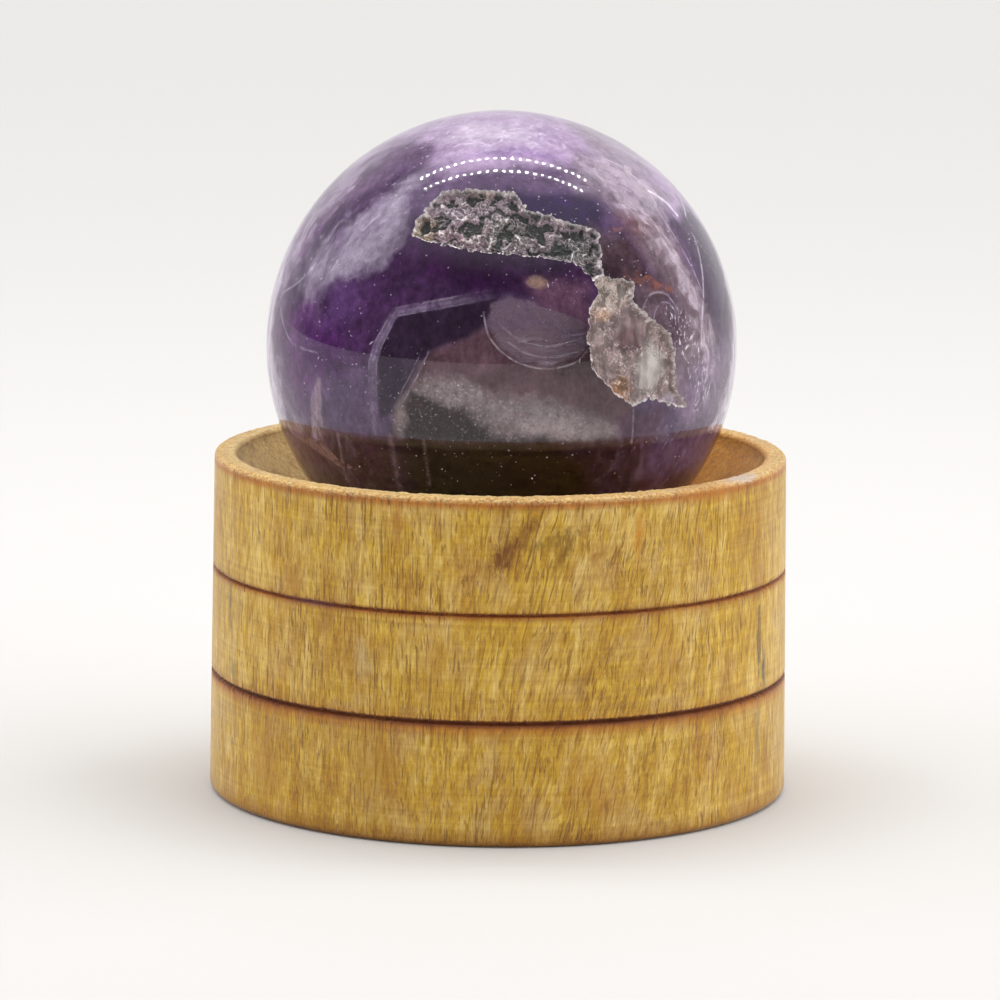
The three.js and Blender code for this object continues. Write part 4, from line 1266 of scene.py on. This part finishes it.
def ribbonMaterial(name, ribbon):
    # a plane of tiny bubbles seen edge on: dull, pale, uneven along its length
    material, tree = newMaterial(name)
    across = addNode(tree, "Attribute", settings={"attribute_name": "across"}).outputs["Fac"]
    fade = addNode(tree, "Attribute", settings={"attribute_name": "fade"}).outputs["Fac"]
    profile = addNode(tree, "FloatCurve", {"Value": across}, Factor=1.0)
    lines = ribbon.get("lines", oneLine)
    curve = profile.mapping.curves[0]
    for place, height in lines[1:-1]:
        curve.points.new(place, height)
    curve.points[0].location, curve.points[-1].location = lines[0], lines[-1]
    profile.mapping.update()
    place = placeInMm(tree)
    patchy = addNode(tree, "MapRange", [grainNoise(tree, place, (0.9, 0.9, 0.9), 4.0, 0.65), 0.30, 0.62], smooth)
    solid = addNode(tree, "Math", [addNode(tree, "Math", [profile, fade], multiply), ribbon["opacity"]], multiply)
    alpha = addNode(tree, "Math", [solid, patchy], multiply)
    shader = addNode(tree, "BsdfPrincipled", {"Alpha": alpha}, Base_Color=hexColour(ribbon["colour"]),
                     Roughness=1.0, Specular_IOR_Level=0.0)
    addNode(tree, "OutputMaterial", {"Surface": shader})
    return material


def makeRibbon(name, ribbon):
    path = [Vector(p) for p in ribbon["path"]] if ribbon.get("sharp") else smoothPath(ribbon["path"])
    vertices, across, fades = [], [], []
    steps = 9
    for i, place in enumerate(path):
        run = path[min(i + 1, len(path) - 1)] - path[max(i - 1, 0)]
        squeeze = math.cos(math.radians(place.y))
        side = Vector((-run.y, run.x * squeeze)).normalized()
        for k in range(steps):
            share = k / (steps - 1)
            shift = side * ribbon["width"] * (0.5 - share)
            way = wayTo(place.x + shift.x / squeeze, place.y + shift.y)
            vertices.append(ballCentre + way * ballRadius * ribbon["share"])
            across.append(share)
            fades.append(0.0 if i in (0, len(path) - 1) else 1.0)
    faces = [(r * steps + k, r * steps + k + 1, (r + 1) * steps + k + 1, (r + 1) * steps + k)
             for r in range(len(path) - 1) for k in range(steps - 1)]
    piece = meshObject(name, vertices, faces, [ribbonMaterial(name.replace("_", " "), ribbon)])
    for label, values in (("across", across), ("fade", fades)):
        piece.data.attributes.new(label, "FLOAT", "POINT").data.foreach_set("value", values)
    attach(piece, "root")


specks = dict(
    count=14000, smallest=0.022, largest=0.095,   # mm
    dashShare=0.06, dashLength=4.0,
    deepest=0.80, shallowest=0.985,              # share of the ball's radius
    cloud=9,                                     # mm, the size of the clouds they gather in
    foot=(-0.012, -0.006), footShare=0.25,       # m from the ball's middle, where they thin out
    grainFaces=(4, 2),
    seed=11,
)


def specksTree():
    tree, entry = geometryTree("specks in a ball", {
        "Centre": "Vector", "Density": "Float", "Smallest": "Float", "Largest": "Float", "Deepest": "Float",
        "Dash Share": "Float", "Dash Length": "Float", "Seed": "Int", "Speck": "Material"})
    link = tree.links.new
    place = addNode(tree, "GeometryNodeInputPosition")
    crowd = addNode(tree, "TexNoise", {"Vector": place}, Scale=1000 / specks["cloud"], Detail=2.0)
    crowded = addNode(tree, "MapRange", [crowd, 0.42, 0.66], smooth)
    crowded = addNode(tree, "Math", [crowded, entry.outputs["Density"]], multiply)
    above = addNode(tree, "VectorMath", {0: place, 1: entry.outputs["Centre"]}, subtract)
    above = addNode(tree, "SeparateXYZ", {0: above}).outputs["Z"]
    # fewer towards the bottom of the ball, where the heart is painted dark
    fewer = addNode(tree, "MapRange", [above, *specks["foot"]], smooth)
    fewer = addNode(tree, "Math", [fewer, 1 - specks["footShare"], specks["footShare"]], multiplyAdd)
    crowded = addNode(tree, "Math", [crowded, fewer], multiply)
    spread = addNode(tree, "GeometryNodeDistributePointsOnFaces",
                     {"Mesh": entry.outputs["Geometry"], "Density": crowded, "Seed": entry.outputs["Seed"]})
    inwards = addNode(tree, "VectorMath", {0: entry.outputs["Centre"], 1: place}, subtract)
    furthest = addNode(tree, "Math", [1.0, entry.outputs["Deepest"]], subtract)
    depth = addNode(tree, "FunctionNodeRandomValue", {2: 0.0, 3: furthest, "Seed": entry.outputs["Seed"]},
                    {"data_type": "FLOAT"})
    sunk = addNode(tree, "VectorMath", {0: inwards, "Scale": depth.outputs[1]}, {"operation": "SCALE"})
    placed = addNode(tree, "GeometryNodeSetPosition", {"Geometry": spread.outputs["Points"], "Offset": sunk})
    # most are near the smallest, few near the largest
    chance = addNode(tree, "FunctionNodeRandomValue", {2: 0.0, 3: 1.0, "Seed": 3}, {"data_type": "FLOAT"})
    chance = addNode(tree, "Math", [chance.outputs[1], 3.0], {"operation": "POWER"})
    size = addNode(tree, "MapRange", {"Value": chance, "To Min": entry.outputs["Smallest"],
                                      "To Max": entry.outputs["Largest"]})
    pick = addNode(tree, "FunctionNodeRandomValue", {2: 0.0, 3: 1.0, "Seed": 5}, {"data_type": "FLOAT"})
    dash = addNode(tree, "Math", [pick.outputs[1], entry.outputs["Dash Share"]], {"operation": "LESS_THAN"})
    extra = addNode(tree, "Math", [entry.outputs["Dash Length"], 1.0], subtract)
    longer = addNode(tree, "Math", [dash, extra, 1.0], multiplyAdd)
    shape = addNode(tree, "CombineXYZ", [size, size, addNode(tree, "Math", [size, longer], multiply)])
    fullTurn = 6.283
    turn = addNode(tree, "FunctionNodeRandomValue", {0: (0, 0, 0), 1: (fullTurn, fullTurn, fullTurn), "Seed": 9},
                   {"data_type": "FLOAT_VECTOR"})
    around, up = specks["grainFaces"]
    grain = addNode(tree, "GeometryNodeMeshUVSphere", Radius=1.0, Segments=around, Rings=up)
    strewn = addNode(tree, "GeometryNodeInstanceOnPoints",
                     {"Points": placed, "Instance": grain, "Rotation": turn, "Scale": shape})
    real = addNode(tree, "GeometryNodeRealizeInstances", {"Geometry": strewn})
    finish = addNode(tree, "GeometryNodeSetMaterial", {"Geometry": real, "Material": entry.outputs["Speck"]})
    link(finish.outputs[0], tree.nodes.new("NodeGroupOutput").inputs[0])
    return tree


def makeSpecks():
    material, tree = newMaterial("white mineral specks")
    place = addNode(tree, "TexCoord").outputs["Object"]
    blotch = addNode(tree, "TexNoise", {"Vector": place}, Scale=1000 / 4.0, Detail=1.0)
    pale = addNode(tree, "ValToRGB", [blotch], {"stops": [(0.35, "#a89aa8"), (0.55, "#ddd6df"), (0.7, "#ffffff")]})
    shader = addNode(tree, "BsdfPrincipled", {"Base Color": pale}, Roughness=0.6)
    addNode(tree, "OutputMaterial", {"Surface": shader})
    radius = ballRadius * specks["shallowest"]
    carrier = finishBall(newIcosphere(4, radius), "specks carrier", [])
    area = 4 * math.pi * radius ** 2
    piece = growWith(specksTree(), {
        "Centre": ballCentre, "Density": specks["count"] / area, "Smallest": specks["smallest"] * mm,
        "Largest": specks["largest"] * mm, "Deepest": specks["deepest"], "Dash Share": specks["dashShare"],
        "Dash Length": specks["dashLength"], "Seed": specks["seed"], "Speck": material}, "mineral_specks", carrier)
    bpy.data.objects.remove(carrier)
    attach(piece, "root")
    return piece


skin = makeSkin(polishedMaterial(), crustMaterial())
print("polished skin:", len(skin.data.polygons), "faces")
heart = makeHeart(heartMaterial())
print("cloudy heart:", len(heart.data.polygons), "faces")
for filmName, film in films.items():
    makeFilm(filmName, film)
for ribbonName, ribbon in ribbons.items():
    makeRibbon(ribbonName, ribbon)
specksPiece = makeSpecks()
print("films and specks:", len(specksPiece.data.polygons), "speck faces")
